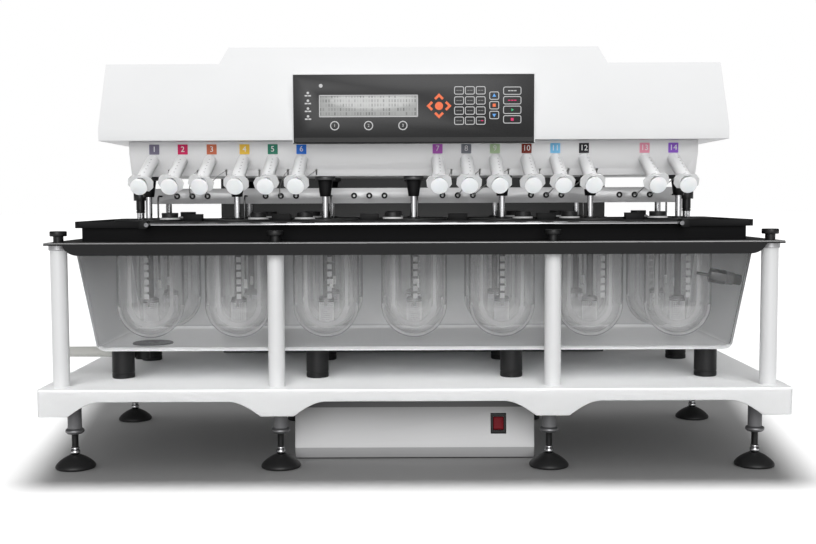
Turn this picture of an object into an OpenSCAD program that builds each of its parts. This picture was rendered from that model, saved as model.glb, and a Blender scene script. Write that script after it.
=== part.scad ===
// Bench dissolution tester: two rows of stirred glass vessels hang in a heated water bath,
// under a drive head that lifts on a tower at the back. The front is towards -Y.
// The origin is on the floor, under the middle of the platform.

/* [Vessels] */
// Distance between vessels along a row
vessel_pitch = 140; // [130:1:150]
// Distance between the front row and the rear row
row_pitch = 146; // [136:1:160]
// Outside diameter of a vessel
vessel_d = 105; // [98:1:110]
// Thickness of the glass
vessel_wall = 2.75; // [2:0.25:4]
// Depth of a vessel below the deck that it hangs from
vessel_depth = 183; // [172:1:195]
// Diameter of the rim flange that a vessel hangs by
vessel_flange_d = 118; // [114:1:122]
// Thickness of the rim flange
vessel_flange_t = 3; // [2:0.5:5]

/* [Covers] */
// Thickness of a vessel cover
cover_t = 2.5; // [2:0.5:4]
// Gap between a cover and the clamp blocks beside it
cover_gap = 2; // [1:0.5:4]
// Diameter of the collar that holds a cover on its shaft
cover_hub_d = 20; // [16:1:22]
// Height of that collar
cover_hub_h = 2.5; // [1.5:0.5:4]
// Diameter of the stopper's disc
stopper_d = 32; // [26:1:34]
// Thickness of the stopper's disc
stopper_t = 3; // [2:0.5:5]
// Distance from the stopper to the edge of its cover
stopper_edge = 4; // [2:0.5:6]
// Diameter of the stopper's knob
knob_d = 26; // [18:1:28]
// Height of the stopper's knob
knob_h = 7.5; // [5:0.5:9]
// Diameter of the hole that lets a sampling tube through a cover
cannula_hole_d = 8; // [6:0.5:10]

/* [Vessel plate] */
// Height of the deck's top above the rim plate
tray_h = 26; // [22:1:32]
// Thickness of the deck
deck_t = 6; // [4:0.5:8]
// Height of the raised edge above the deck
tray_lip_h = 4; // [2:0.5:6]
// Thickness of the tray's side walls
tray_wall = 8; // [5:0.5:10]
// Overhang of the flange past the side walls
tray_overhang = 9; // [4:1:12]
// Side walls' distance from the end vessels
tray_margin_x = 36.5; // [30:0.5:42]
// Front and rear walls' distance from the vessels
tray_margin_y = 13.5; // [12:0.5:18]
// Overlap of a clamp block on the rim flange beside it
clamp_bite = 4; // [2:0.5:5]
// Height of a clamp block above the rim flange
clamp_h = 11; // [7:1:14]
// Depth of a clamp block from front to back
clamp_d = 14; // [10:1:18]
// Diameter of the front rail
rail_d = 6.5; // [5:0.5:8]
// Rail's distance in front of the tray's flange
rail_reach = 15; // [12:1:20]
// Rail's height below the raised edge
rail_drop = 5; // [4:0.5:6]
// Distance from the rail's end to the end shaft
rail_inset = 18; // [12:1:26]
// Width of a rail bracket
bracket_w = 12; // [10:1:16]
// Height of a rail bracket
bracket_h = 12; // [10:1:14]

/* [Bath and rim plate] */
// Thickness of the bath's walls
bath_wall = 3; // [2:0.5:4]
// Gap between the end vessels and the bath's end walls at the floor
bath_gap_x = 14.5; // [10:0.5:20]
// Gap between the vessels and the bath's front and rear walls at the floor
bath_gap_y = 17.5; // [12:0.5:22]
// Gap between the vessels and the bath's floor
bath_gap_z = 7; // [5:0.5:12]
// Outward slope of the end walls from floor to rim
bath_flare_x = 26; // [16:1:28]
// Outward slope of the front and rear walls from floor to rim
bath_flare_y = 21; // [14:1:24]
// Corner radius of the bath
bath_corner_r = 16; // [15:1:24]
// Rounding between the floor and the walls
bath_floor_r = 10; // [6:1:14]
// Diameter of a rubber spacer under the bath
spacer_d = 35; // [28:1:42]
// Height of a rubber spacer
spacer_h = 50; // [44:1:60]
// Middle spacers' distance from the centre line
spacer_mid_x = 153; // [120:1:180]
// End spacers' distance inside the bath's floor
spacer_end_inset = 27.5; // [20:0.5:40]
// Spacers' distance in front of and behind the bath's centre line
spacer_y = 97; // [80:1:110]
// Thickness of the rim plate
rim_t = 4; // [3:0.5:6]
// Rim plate's reach past the post axes
rim_margin_x = 13; // [12:0.5:22]
// Rim plate's reach behind the bath
rim_rear_margin = 10; // [6:1:12]
// Ledge of the rim plate inside the tray's walls
rim_ledge = 2; // [1:0.5:4]
// Height of the front lip
rim_lip_h = 19; // [14:1:24]
// Thickness of the front lip
rim_lip_t = 3; // [2:0.5:5]
// Lip's distance from the end of the rim plate
rim_lip_inset = 27; // [20:1:36]
// Length of the rounded end of the lip
rim_lip_round = 24; // [14:1:28]
// Outside diameter of the drain pipe
drain_d = 16.6; // [14:0.2:20]
// Bore of the drain pipe
drain_bore_d = 12; // [8:0.5:12.5]
// Diameter of the drain's elbow
drain_elbow_d = 23; // [21:0.5:26]
// Wall of the socket on the elbow that the pipe is glued into
drain_socket_wall = 2; // [1.5:0.5:2.5]
// Socket's reach past the elbow
drain_socket_l = 5; // [3:0.5:10]
// Depth of the drain pipe's axis below the bath
drain_drop = 13.5; // [12:0.5:18]
// Elbow's distance inside the bath's floor
drain_inset = 50; // [44:1:70]
// Drain's distance in front of the bath's centre line
drain_y = 63; // [50:1:66]
// Gap between the drain's open end and the platform's side
drain_end_gap = 1; // [1:0.5:20]
// Height of the sensor above the bath's underside
sensor_h = 103; // [90:1:120]
// Width of the sensor's nut across its corners
sensor_nut_d = 22; // [18:1:23]
// Length of the sensor's seat, gasket and nut
sensor_nut_l = 48; // [36:1:50]
// Diameter of the sensor's probe
sensor_probe_d = 4.5; // [4:0.5:7]
// Length of the sensor's probe past its nut
sensor_probe_l = 20; // [10:1:30]

/* [Posts] */
// Diameter of a support post
post_d = 25; // [20:1:30]
// Gap between the end posts and the bath's side
post_gap_x = 2; // [2:0.5:8]
// Gap between the front posts and the bath's front
post_gap_y = 3.5; // [2:0.5:8]
// Middle posts' distance from the centre line
post_mid_x = 207; // [195:1:220]
// Rear posts' distance behind the bath's centre line
post_rear_y = 157; // [120:1:160]
// Diameter of the ferrule at the top of a post
ferrule_d = 29; // [27:0.5:32]
// Height of the ferrule
ferrule_h = 8; // [5:1:12]
// Diameter of a thumb screw's head
thumb_d = 25; // [20:1:28]
// Height of a thumb screw's head
thumb_h = 7.5; // [5:0.5:10]
// Diameter of a thumb screw's neck
thumb_neck_d = 15; // [12:0.5:18]
// Height of a thumb screw's neck
thumb_neck_h = 9; // [6:0.5:11]
// Diameter of a thumb screw's shank
thumb_shank_d = 8; // [6:0.5:10]
// Length of the shank inside the post
thumb_shank_l = 20; // [12:1:30]

/* [Platform] */
// Height of the skirt's lower edge above the floor
foot_h = 86; // [80:1:100]
// Height of the platform from the skirt's edge to its top
skirt_h = 41; // [34:1:50]
// Thickness of the platform's sheet
platform_wall = 3; // [2:0.5:5]
// Corner radius of the platform
platform_corner_r = 6; // [4:1:12]
// Platform's reach past the end posts
platform_margin_x = 29; // [24:1:40]
// Platform's reach in front of the front posts
platform_margin_y = 30; // [24:1:45]
// Rise of the arches in the skirt
arch_rise = 22; // [12:1:26]
// Length of the curve at each end of an arch
arch_run = 48; // [30:1:55]
// Length of the skirt left at each corner
corner_flat = 45; // [36:1:60]
// Length of the skirt left over the middle feet
mid_flat = 49; // [40:1:60]
// Middle feet's distance from the centre line
foot_mid_x = 204; // [204:1:215]
// Corner feet's distance from the platform's side
foot_inset_x = 42.5; // [36:0.5:60]
// Front feet's distance from the platform's front
foot_inset_front = 45; // [34:1:50]
// Rear feet's distance from the platform's back
foot_inset_rear = 65; // [40:1:80]
// Diameter of a foot's pad
foot_pad_d = 60; // [50:1:64]
// Height of a foot's pad
foot_pad_h = 25; // [18:1:30]
// Diameter of a foot's ball
foot_ball_d = 14; // [12:0.5:16]
// Diameter of a foot's stud
foot_stud_d = 9.5; // [8:0.5:11]
// Diameter of a foot's flange nut
foot_nut_d = 28.5; // [24:0.5:30]
// Height of a foot's flange nut
foot_nut_h = 8; // [6:0.5:10]
// Diameter of a foot's sleeve
foot_sleeve_d = 21; // [18:0.5:23]
// Sleeve's reach below the skirt
foot_sleeve_drop = 25; // [15:1:28]

/* [Power box] */
// Width of the power box
box_w = 374; // [340:1:376]
// Depth of the power box
box_d = 260; // [220:1:275]
// Power box's distance behind the platform's front
box_front_inset = 90; // [85:1:110]
// Gap under the power box
box_floor_gap = 7.5; // [5:0.5:15]
// Height of the chamfered strip along its lower front edge
box_crease_h = 17.5; // [10:0.5:22]
// Depth of that chamfered strip
box_crease_run = 7; // [4:0.5:12]
// Backward lean of its front face
box_lean = 10; // [4:0.5:14]
// Thickness of its sheet
box_wall = 2; // [1.5:0.5:3]
// Switch's distance in from the power box's right-hand end
switch_x = 56; // [40:1:80]
// Switch's height above the crease
switch_h = 31; // [24:1:45]
// Width of the switch's bezel
bezel_w = 24; // [22:0.5:28]
// Height of the switch's bezel
bezel_h = 32; // [28:0.5:36]
// Thickness of the switch's bezel
bezel_t = 1.5; // [1:0.5:3]
// Width of the rocker
rocker_w = 15.6; // [13:0.2:17]
// Height of the rocker
rocker_h = 21; // [18:0.5:23]
// Tilt of the rocker from its middle position
rocker_tilt = 8; // [5:1:10]

/* [Tower and lift] */
// Width of the tower
tower_w = 697; // [640:1:720]
// Depth of the tower
tower_d = 85; // [80:1:100]
// Gap between the bath's rim and the tower
tower_gap = 15; // [12:1:25]
// Height of the tower above the platform
tower_h = 343; // [335:1:355]
// Thickness of the tower's sheet
tower_wall = 3; // [2:0.5:4]
// How far the head lifts
lift_travel = 200; // [190:1:210]
// Length of the carriage left in the tower when the head is up
lift_overlap = 70; // [60:1:78]
// Gap between the lift motor and the carriage's floor when the head is down
carriage_rest = 13; // [8:0.5:20]
// Gap between the carriage and the tower's front and back walls
carriage_gap = 5; // [3:0.5:8]
// Gap between the carriage and the tower's side walls
carriage_side_gap = 22; // [10:1:30]
// Thickness of the carriage's sheet
carriage_wall = 4; // [3:0.5:6]
// Diameter of a guide rod
rod_d = 20; // [16:1:24]
// Guide rods' distance from the centre line
rod_x = 250; // [200:1:280]
// Rods' end below the tower's top
rod_end_gap = 15; // [10:1:20]
// Diameter of a guide rod's foot flange
rod_flange_d = 40; // [34:1:46]
// Height of a guide rod's foot flange
rod_flange_h = 8; // [6:1:12]
// Diameter of a guide bush
bush_d = 40; // [34:1:46]
// Length of a guide bush
bush_l = 60; // [40:1:70]
// Diameter of the lift screw
screw_d = 16; // [12:1:20]
// Lift screw's end below the tower's top
screw_end_gap = 20; // [15:1:25]
// Diameter of the lift nut
nut_d = 36; // [30:1:42]
// Length of the lift nut
nut_l = 40; // [30:1:50]
// Width of the lift motor
lift_motor_w = 60; // [50:1:64]
// Height of the lift motor
lift_motor_h = 60; // [50:1:65]
// Depth of the screw's end in the lift motor
screw_seat = 17; // [12:1:25]

/* [Head] */
// Height of the syringe panel's underside above the deck
head_gap = 73; // [70:1:80]
// Head's reach past the end shafts
head_margin_x = 57.5; // [54:0.5:70]
// Head's reach in front of the front row
head_nose = 75; // [72:1:80]
// Height of the head's vertical front edge
lip_h = 18.6; // [14:0.2:24]
// Height of the head's sloped front
slope_h = 102.4; // [95:0.2:110]
// Depth of the head's sloped front
slope_run = 52; // [44:1:60]
// Height of the raised middle
hump_h = 27; // [20:1:34]
// Width of the raised middle at its foot
hump_w = 604; // [560:1:640]
// Slope of the raised middle's ends
hump_taper = 13; // [8:1:18]
// Thickness of the head cover
head_wall = 2.5; // [2:0.25:4]
// Thickness of the chassis plate
chassis_t = 4; // [3:0.5:6]
// Width of the console on the sloped front
console_w = 364; // [340:1:380]
// Height of the console
console_h = 104.5; // [95:0.5:108]
// Console's reach in front of the head
console_reach = 14; // [10:1:18]
// Console's edge below the head's underside
console_drop = 6.5; // [2:0.5:8]
// Thickness of the console's sheet
console_wall = 1.5; // [1:0.25:2.5]
// Thickness of the control panel
control_t = 4; // [3:0.5:6]
// Width of the display
display_w = 146.6; // [130:0.2:150]
// Height of the display
display_h = 31.4; // [28:0.2:36]
// Thickness of the display
display_t = 3; // [2:0.5:3]
// Display's middle to the left of the centre line
display_x = 67.7; // [60:0.1:75]
// Display's middle above the console's edge
display_up = 56.3; // [50:0.1:60]

/* [Syringe panel] */
// Panel's reach past the end shafts
panel_margin_x = 21; // [20:1:30]
// Panel's reach in front of the front row
panel_nose = 35; // [33:1:42]
// Panel's reach behind the rear row
panel_tail = 34; // [24:1:50]
// Height of the upright strip along its top
strip_h = 18; // [17:1:22]
// Height of its tilted face
face_h = 35; // [34:1:42]
// Tilt of that face, and slope of the syringes
face_tilt = 24; // [20:1:25]
// Thickness of the panel's sheet
panel_wall = 2; // [1.5:0.5:3]
// Distance between syringes in a group
syringe_pitch = 44.5; // [42:0.5:45]
// Syringes' distance down the tilted face
syringe_drop = 8.8; // [8:0.2:12]
// Diameter of a syringe's barrel
barrel_d = 20; // [18:0.5:22]
// Wall of a syringe's barrel
barrel_wall = 0.9; // [0.7:0.1:1.5]
// Length of a syringe's barrel
barrel_l = 88; // [80:1:89]
// Diameter of a syringe's nozzle
nozzle_d = 6; // [4:0.5:7]
// Length of a syringe's nozzle
nozzle_l = 8; // [6:0.5:9]
// Width of the finger flange
wing_w = 37; // [32:0.5:38]
// Height of the finger flange
wing_h = 23; // [22:0.5:26]
// Thickness of the finger flange
wing_t = 2; // [1.5:0.5:3]
// Plunger's reach past the finger flange
plunger_reach = 12; // [10:0.5:13]
// Diameter of a plunger's thumb disc
thumb_disc_d = 25; // [21:0.5:26]
// Thickness of a plunger's thumb disc
thumb_disc_t = 2; // [1.5:0.5:3]
// Length of a plunger's seal
seal_l = 8; // [6:0.5:10]
// Width of a plunger's ribs
rib_w = 14; // [10:0.5:15]
// Thickness of a plunger's ribs
rib_t = 1.8; // [1.2:0.2:2.4]
// Slot's distance to the right of its syringe
slot_x = 22; // [20:0.5:24]
// Diameter of a slot's round end
slot_hole_d = 4; // [3:0.2:5]
// Width of a slot
slot_w = 2; // [1.6:0.2:2.6]
// Height of a slot's round end above the panel's underside
slot_h = 9; // [7:0.5:11]

/* [Sampling bar] */
// Gap between the syringe panel and the bar
bar_drop = 18; // [16:1:20]
// Height of the bar
bar_h = 25; // [20:1:27]
// Thickness of the bar
bar_t = 16; // [12:1:20]
// Bar's end short of its guide columns
bar_end_gap = 10; // [7:0.5:14]
// Height of the eyes that run on the columns
eye_h = 14; // [10:1:18]
// Wall of those eyes
eye_wall = 4; // [3:0.5:5]
// Diameter of a guide column
column_d = 14; // [12:0.5:16]
// Gap between a guide column and the syringe panel
column_gap = 3; // [2:0.5:6]
// Gap between a guide column and the deck
column_foot_gap = 5; // [3:0.5:6]
// Diameter of a column's knurled collar
collar_d = 12; // [10:0.5:14]
// Height of a column's knurled collar
collar_h = 11; // [8:1:12]
// Diameter of a grommet
grommet_d = 10; // [8:0.5:12]
// Bore of a grommet
grommet_bore_d = 4; // [3:0.5:6]
// Grommet's reach in front of the bar
grommet_t = 1.5; // [1:0.5:3]
// Distance between grommets in a group
grommet_pitch = 25; // [20:0.5:28]
// Distance between groups of grommets
grommet_group_pitch = 145.4; // [140:0.2:150]
// Diameter of a sample line
line_d = 2; // [1.6:0.2:2.4]
// Diameter of a sampling tube
cannula_d = 3; // [2:0.2:4]
// Radius of a sampling tube's bend
cannula_bend_r = 8; // [6:0.5:10]
// Sampling tube's distance to the right of the shaft
cannula_x = 6; // [2:0.5:8]
// Sampling tube's distance from the vessel's wall
cannula_wall_gap = 12; // [10:0.5:14]
// Depth of a sampling tube's tip below the deck
cannula_depth = 95; // [80:1:110]

/* [Spindles] */
// Diameter of a shaft
shaft_d = 10; // [8:0.5:12]
// Diameter of a basket
basket_d = 23; // [20:0.5:26]
// Height of a basket
basket_h = 37; // [33:0.5:40]
// Height of a basket above the vessel's bottom
basket_gap = 22; // [18:0.5:28]
// Diameter of the hub on top of a basket
hub_d = 20; // [17:0.5:24]
// Height of the hub on top of a basket
hub_h = 6; // [4:0.5:9]
// Diameter of a bearing nose's flange
nose_flange_d = 32; // [28:0.5:34]
// Thickness of a bearing nose's flange
nose_flange_t = 6; // [4:0.5:8]
// Diameter of a bearing nose at its top
nose_top_d = 24; // [20:0.5:26]
// Diameter of a bearing nose at its tip
nose_tip_d = 17; // [15:0.5:19]
// Length of a bearing nose below its flange
nose_l = 26; // [18:0.5:30]
// Diameter of an upper bearing
upper_bearing_d = 24; // [20:0.5:28]
// Height of an upper bearing
upper_bearing_h = 10; // [8:0.5:14]
// Diameter of a pulley
pulley_d = 36; // [30:0.5:40]
// Height of a pulley
pulley_h = 14; // [12:0.5:18]
// Gap between an upper bearing and the pulley above it
pulley_gap = 8; // [4:0.5:12]
// Shaft's end above its pulley
shaft_end = 4; // [2:0.5:8]
// Height of the drive belt
belt_h = 10; // [8:0.5:12]
// Thickness of the drive belt
belt_t = 1.5; // [1:0.25:3]
// Diameter of the drive motor
motor_d = 56; // [50:1:60]
// Height of the drive motor
motor_h = 44; // [36:1:48]
// Gap between a pulley and the drive motor's plate
motor_gap = 8; // [6:0.5:12]
// Thickness of the drive motor's plate
motor_plate_t = 4; // [3:0.5:6]
// Depth of the driven shaft's end in the drive motor
motor_seat = 15; // [10:1:25]

/* [Fits] */
// Clearance round a shaft that turns or slides in its hole
run_fit = 0.05; // [0.02:0.01:0.1]
// Clearance of a part that drops into its seat
seat_fit = 0.3; // [0.2:0.05:0.5]
// Clearance round a vessel in the deck
vessel_fit = 0.5; // [0.3:0.1:1]

/* [Hidden] */
$fn = 64;
hull_fn = 32;
cut = 1;
columns = 7;
rows = 2;
vessels = columns * rows;
driven = 4;

// Syringes stand in groups: the shaft column each group starts from, its distance to that
// shaft, how many it has, and the group of grommets its lines run to
bank_column = [0, 1, 3, 4, 6];
bank_offset = [16, 17, 37, 35, -62];
bank_count = [3, 3, 3, 3, 2];
bank_grommets = [0, 1, 3, 4, 5];
grommet_groups = 6;
grommets_in_group = 3;
// Side of the shaft that each column's stopper is on
stopper_side = [1, 1, -1, -1, 1, -1, -1];

// Heights, from the floor up
platform_z = foot_h + skirt_h;
bath_z = platform_z + spacer_h;
vessel_z = bath_z + bath_wall + bath_gap_z;
deck_z = vessel_z + vessel_depth;
tray_z = deck_z - tray_h;
rim_z = tray_z - rim_t;
flange_z = deck_z - deck_t;
vessel_rim_z = deck_z + vessel_flange_t;
cover_z = vessel_rim_z + cover_t;
panel_z = deck_z + head_gap;
crease_z = panel_z + face_h;
chassis_z = crease_z + strip_h;
lip_z = chassis_z + lip_h;
body_top = lip_z + slope_h;
hump_top = body_top + hump_h;
tower_top = platform_z + tower_h;
carriage_z = tower_top - lift_travel - lift_overlap;
carriage_floor_z = platform_z + lift_motor_h + carriage_rest;
bar_top = panel_z - bar_drop;
bar_mid_z = bar_top - bar_h / 2;
pulley_z = chassis_z + chassis_t + upper_bearing_h + pulley_gap;
motor_plate_z = pulley_z + pulley_h + motor_gap;
motor_z = motor_plate_z + motor_plate_t;

// Widths, from the vessels out
shaft_half_x = (columns - 1) / 2 * vessel_pitch;
vessel_half_x = shaft_half_x + vessel_d / 2;
floor_half_x = vessel_half_x + bath_gap_x + bath_wall;
bath_half_x = floor_half_x + bath_flare_x;
tray_half_x = vessel_half_x + tray_margin_x;
post_x = bath_half_x + post_gap_x + post_d / 2;
rim_half_x = post_x + rim_margin_x;
platform_half_x = post_x + platform_margin_x;
head_half_x = shaft_half_x + head_margin_x;
panel_half_x = shaft_half_x + panel_margin_x;
column_x = panel_half_x + column_gap + column_d / 2;
bar_half_x = column_x - column_d / 2 - bar_end_gap;

// Depths, from the middle of the bath to the front and to the back
vessel_half_y = row_pitch / 2 + vessel_d / 2;
floor_half_y = vessel_half_y + bath_gap_y + bath_wall;
bath_half_y = floor_half_y + bath_flare_y;
tray_half_y = vessel_half_y + tray_margin_y;
front_reach = bath_half_y + post_gap_y + post_d / 2 + platform_margin_y;
rear_reach = bath_half_y + tower_gap + tower_d;
platform_half_y = (front_reach + rear_reach) / 2;
bath_y = (front_reach - rear_reach) / 2;
post_front_y = bath_y - bath_half_y - post_gap_y - post_d / 2;
tower_y = bath_y + bath_half_y + tower_gap;
lift_y = tower_y + tower_d / 2;
front_row_y = bath_y - row_pitch / 2;
rear_row_y = bath_y + row_pitch / 2;
head_front_y = front_row_y - head_nose;
console_y = head_front_y - console_reach;
strip_y = front_row_y - panel_nose;
face_run = face_h * tan(face_tilt);
panel_rear_y = rear_row_y + panel_tail;
rail_y = bath_y - tray_half_y - tray_overhang - rail_reach;
rail_z = deck_z + tray_lip_h - rail_drop;
rail_half_x = shaft_half_x - rail_inset;
bar_front_y = bath_y - bar_t / 2;
box_front_y = -platform_half_y + box_front_inset;
box_top = platform_z - platform_wall;
box_crease_z = box_floor_gap + box_crease_h;
box_lean_angle = atan(box_lean / (box_top - box_crease_z));
bath_draft = atan(bath_flare_x / (rim_z - bath_z - bath_floor_r));
slope_len = norm([slope_run, slope_h]);
cover_d = vessel_flange_d - 2 * (clamp_bite + cover_gap);
stopper_x = cover_d / 2 - stopper_d / 2 - stopper_edge;
cannula_y = vessel_d / 2 - vessel_wall - cannula_wall_gap;
stopper_count = len(stopper_side);
barrel_bore_d = barrel_d - 2 * barrel_wall;
barrel_end = nozzle_l + barrel_l;

function column_place(c) = (c - (columns - 1) / 2) * vessel_pitch;
function row_place(r) = r == 0 ? front_row_y : rear_row_y;
function slope_y(z, inset) = head_front_y + (z - lip_z) * slope_run / slope_h + inset * slope_len / slope_h;
function grommet_place(group, k) =
    (group - (grommet_groups - 1) / 2) * grommet_group_pitch
    + (k - (grommets_in_group - 1) / 2) * grommet_pitch;
function two_digits(i) = i < 10 ? str("0", i) : str(i);

// One entry for each syringe: its place along the panel and its grommet's place along the bar
syringes = [
    for (b = [0 : len(bank_column) - 1])
        for (k = [0 : bank_count[b] - 1])
            [
                column_place(bank_column[b]) + bank_offset[b] + k * syringe_pitch,
                grommet_place(bank_grommets[b], k + grommets_in_group - bank_count[b])
            ]
];

// Extrudes an outline drawn as (y, z) along X, about the centre line
module along_x(length) {
    rotate([90, 0, 90]) linear_extrude(length, center = true) children();
}

// Extrudes an outline drawn as (x, z) towards the front from the plane y
module forward(y, length) {
    translate([0, y, 0]) rotate([90, 0, 0]) linear_extrude(length) children();
}

// A rectangle with true round corners, about the origin
module round_rect(half_x, half_y, r) {
    square([2 * (half_x - r), 2 * half_y], center = true);
    square([2 * half_x, 2 * (half_y - r)], center = true);
    for (x = [-1, 1]) {
        for (y = [-1, 1]) {
            translate([x * (half_x - r), y * (half_y - r)]) circle(r);
        }
    }
}

// A box with true round upright corners, between two heights
module round_box(half_x, half_y, r, z0, z1) {
    translate([0, 0, z0]) linear_extrude(z1 - z0) round_rect(half_x, half_y, r);
}

// A round bar between two heights
module rod(d, z0, z1) {
    translate([0, 0, z0]) cylinder(d = d, h = z1 - z0);
}

module at_vessels() {
    for (c = [0 : columns - 1]) {
        for (r = [0 : rows - 1]) {
            translate([column_place(c), row_place(r), 0]) children();
        }
    }
}

module at_posts() {
    for (side = [-1, 1]) {
        translate([side * post_x, post_front_y, 0]) children();
        translate([side * post_mid_x, post_front_y, 0]) children();
        translate([side * post_x, bath_y + post_rear_y, 0]) children();
    }
}

module at_feet() {
    for (side = [-1, 1]) {
        for (x = [foot_mid_x, platform_half_x - foot_inset_x]) {
            translate([side * x, -platform_half_y + foot_inset_front, 0]) children();
            translate([side * x, platform_half_y - foot_inset_rear, 0]) children();
        }
    }
}

// A syringe's own frame: its axis runs out along +Z, square to the tilted face
module at_syringe(i) {
    drop = syringe_drop * [sin(face_tilt), -cos(face_tilt)];
    translate([syringes[i][0], strip_y + drop[0], crease_z + drop[1]])
        rotate([90 + face_tilt, 0, 0]) children();
}

// Outline of one arch in the skirt: it leaves the edge at an angle and levels off at its top
module arch_outline(x0, x1) {
    steps = 12;
    polygon(concat(
        [[x0, foot_h - cut]],
        [for (s = [0 : steps]) [x0 + arch_run * s / steps, foot_h + arch_rise * sin(90 * s / steps)]],
        [for (s = [steps : -1 : 0]) [x1 - arch_run * s / steps, foot_h + arch_rise * sin(90 * s / steps)]],
        [[x1, foot_h - cut]]
    ));
}

module base_platform() {
    flat_x = platform_half_x - corner_flat;
    color("white") difference() {
        round_box(platform_half_x, platform_half_y, platform_corner_r, foot_h, platform_z);
        round_box(
            platform_half_x - platform_wall, platform_half_y - platform_wall,
            platform_corner_r - platform_wall / 2, foot_h - cut, box_top
        );
        for (y = [-platform_half_y + platform_wall + cut, platform_half_y + cut]) {
            forward(y, platform_wall + 2 * cut) {
                arch_outline(-flat_x, -foot_mid_x - mid_flat / 2);
                arch_outline(-foot_mid_x + mid_flat / 2, foot_mid_x - mid_flat / 2);
                arch_outline(foot_mid_x + mid_flat / 2, flat_x);
            }
        }
    }
}

// Each foot is a bell-shaped pad and a stud with its ball, flange nut and sleeve
module levelling_feet() {
    sleeve_z = foot_h - foot_sleeve_drop;
    rim_h = foot_pad_h / 4;
    color([0.12, 0.12, 0.12]) at_feet() rotate_extrude() {
        square([foot_pad_d / 2, rim_h]);
        translate([0, rim_h]) intersection() {
            square([foot_pad_d / 2, foot_pad_h - rim_h]);
            polygon([
                [0, 0], [foot_pad_d / 2, 0], [foot_pad_d / 2 - rim_h, rim_h],
                [foot_ball_d, foot_pad_h - rim_h], [0, foot_pad_h - rim_h]
            ]);
        }
    }
    color([0.5, 0.5, 0.52]) at_feet() {
        rod(foot_ball_d, foot_pad_h, foot_pad_h + foot_ball_d / 2);
        rod(foot_stud_d, foot_pad_h, sleeve_z - foot_nut_h / 2);
        rod(foot_nut_d, sleeve_z - foot_nut_h, sleeve_z);
        rod(foot_sleeve_d, sleeve_z - foot_nut_h / 2, box_top);
    }
}

// The front face's own frame: +Z runs up the face and -Y points out of it
module on_box_front() {
    translate([box_w / 2 - switch_x, box_front_y, box_crease_z]) rotate([-box_lean_angle, 0, 0]) children();
}

module box_outline(inset) {
    polygon([
        [box_front_y + box_crease_run + inset, box_floor_gap + inset],
        [box_front_y + inset, box_crease_z],
        [box_front_y + box_lean + inset, box_top - inset],
        [box_front_y + box_d - inset, box_top - inset],
        [box_front_y + box_d - inset, box_floor_gap + inset]
    ]);
}

module power_box() {
    color([0.7, 0.7, 0.71]) difference() {
        union() {
            along_x(box_w) box_outline(0);
            on_box_front() {
                translate([-bezel_w / 2, -bezel_t, switch_h - bezel_h / 2])
                    cube([bezel_w, bezel_t + box_wall / 2, bezel_h]);
            }
        }
        along_x(box_w - 2 * box_wall) box_outline(box_wall);
        on_box_front() {
            translate([-rocker_w / 2 - seat_fit, -bezel_t - cut, switch_h - rocker_h / 2 - seat_fit])
                cube([rocker_w + 2 * seat_fit, bezel_t + box_wall + 2 * cut, rocker_h + 2 * seat_fit]);
        }
    }
}

// The rocker is round about its pivot, so it turns freely in the bezel
module rocker_switch() {
    pivot_depth = 3;
    valley = 5;
    horn = 7;
    tail = 6;
    color([0.6, 0.05, 0.08]) on_box_front() translate([0, pivot_depth, switch_h]) rotate([-rocker_tilt, 0, 0])
        along_x(rocker_w) intersection() {
            circle(d = rocker_h);
            polygon([
                [-horn, -rocker_h], [-valley, 0], [-horn, rocker_h],
                [tail, rocker_h], [tail, -rocker_h]
            ]);
        }
}

module bath_spacers() {
    color([0.1, 0.1, 0.1]) for (side = [-1, 1]) {
        for (x = [spacer_mid_x, floor_half_x - bath_wall - spacer_end_inset]) {
            for (y = [-spacer_y, spacer_y]) {
                translate([side * x, bath_y + y, 0]) rod(spacer_d, platform_z, bath_z);
            }
        }
    }
}

module support_posts() {
    color("white") at_posts() difference() {
        union() {
            rod(post_d, platform_z, rim_z);
            rod(ferrule_d, rim_z - ferrule_h, rim_z);
        }
        rod(thumb_shank_d + 2 * seat_fit, rim_z - thumb_shank_l - cut, rim_z + cut);
    }
}

module thumb_screws() {
    color([0.1, 0.1, 0.1]) at_posts() {
        rod(thumb_shank_d, rim_z - thumb_shank_l, tray_z + cut);
        rod(thumb_neck_d, tray_z, tray_z + thumb_neck_h + cut);
        rod(thumb_d, tray_z + thumb_neck_h, tray_z + thumb_neck_h + thumb_h);
    }
}

// A drafted tub with a rounded floor, drawn to its outside or, with an inset, to its inside
module bath_form(inset) {
    slice = 0.1;
    over = inset > 0 ? cut : 0;
    slope = 1 + over / (rim_z - bath_z - bath_floor_r);
    translate([0, bath_y, 0]) hull($fn = hull_fn) {
        round_box(
            floor_half_x - bath_floor_r, floor_half_y - bath_floor_r, bath_corner_r - bath_floor_r,
            bath_z + inset, bath_z + inset + slice, $fn = hull_fn
        );
        round_box(
            floor_half_x - inset, floor_half_y - inset, bath_corner_r - inset,
            bath_z + bath_floor_r, bath_z + bath_floor_r + slice, $fn = hull_fn
        );
        round_box(
            floor_half_x + bath_flare_x * slope - inset, floor_half_y + bath_flare_y * slope - inset,
            bath_corner_r - inset, rim_z + over - slice, rim_z + over, $fn = hull_fn
        );
    }
}

module water_bath() {
    color([0.6, 0.62, 0.62, 0.5]) difference() {
        bath_form(0);
        bath_form(bath_wall);
    }
}

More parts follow.
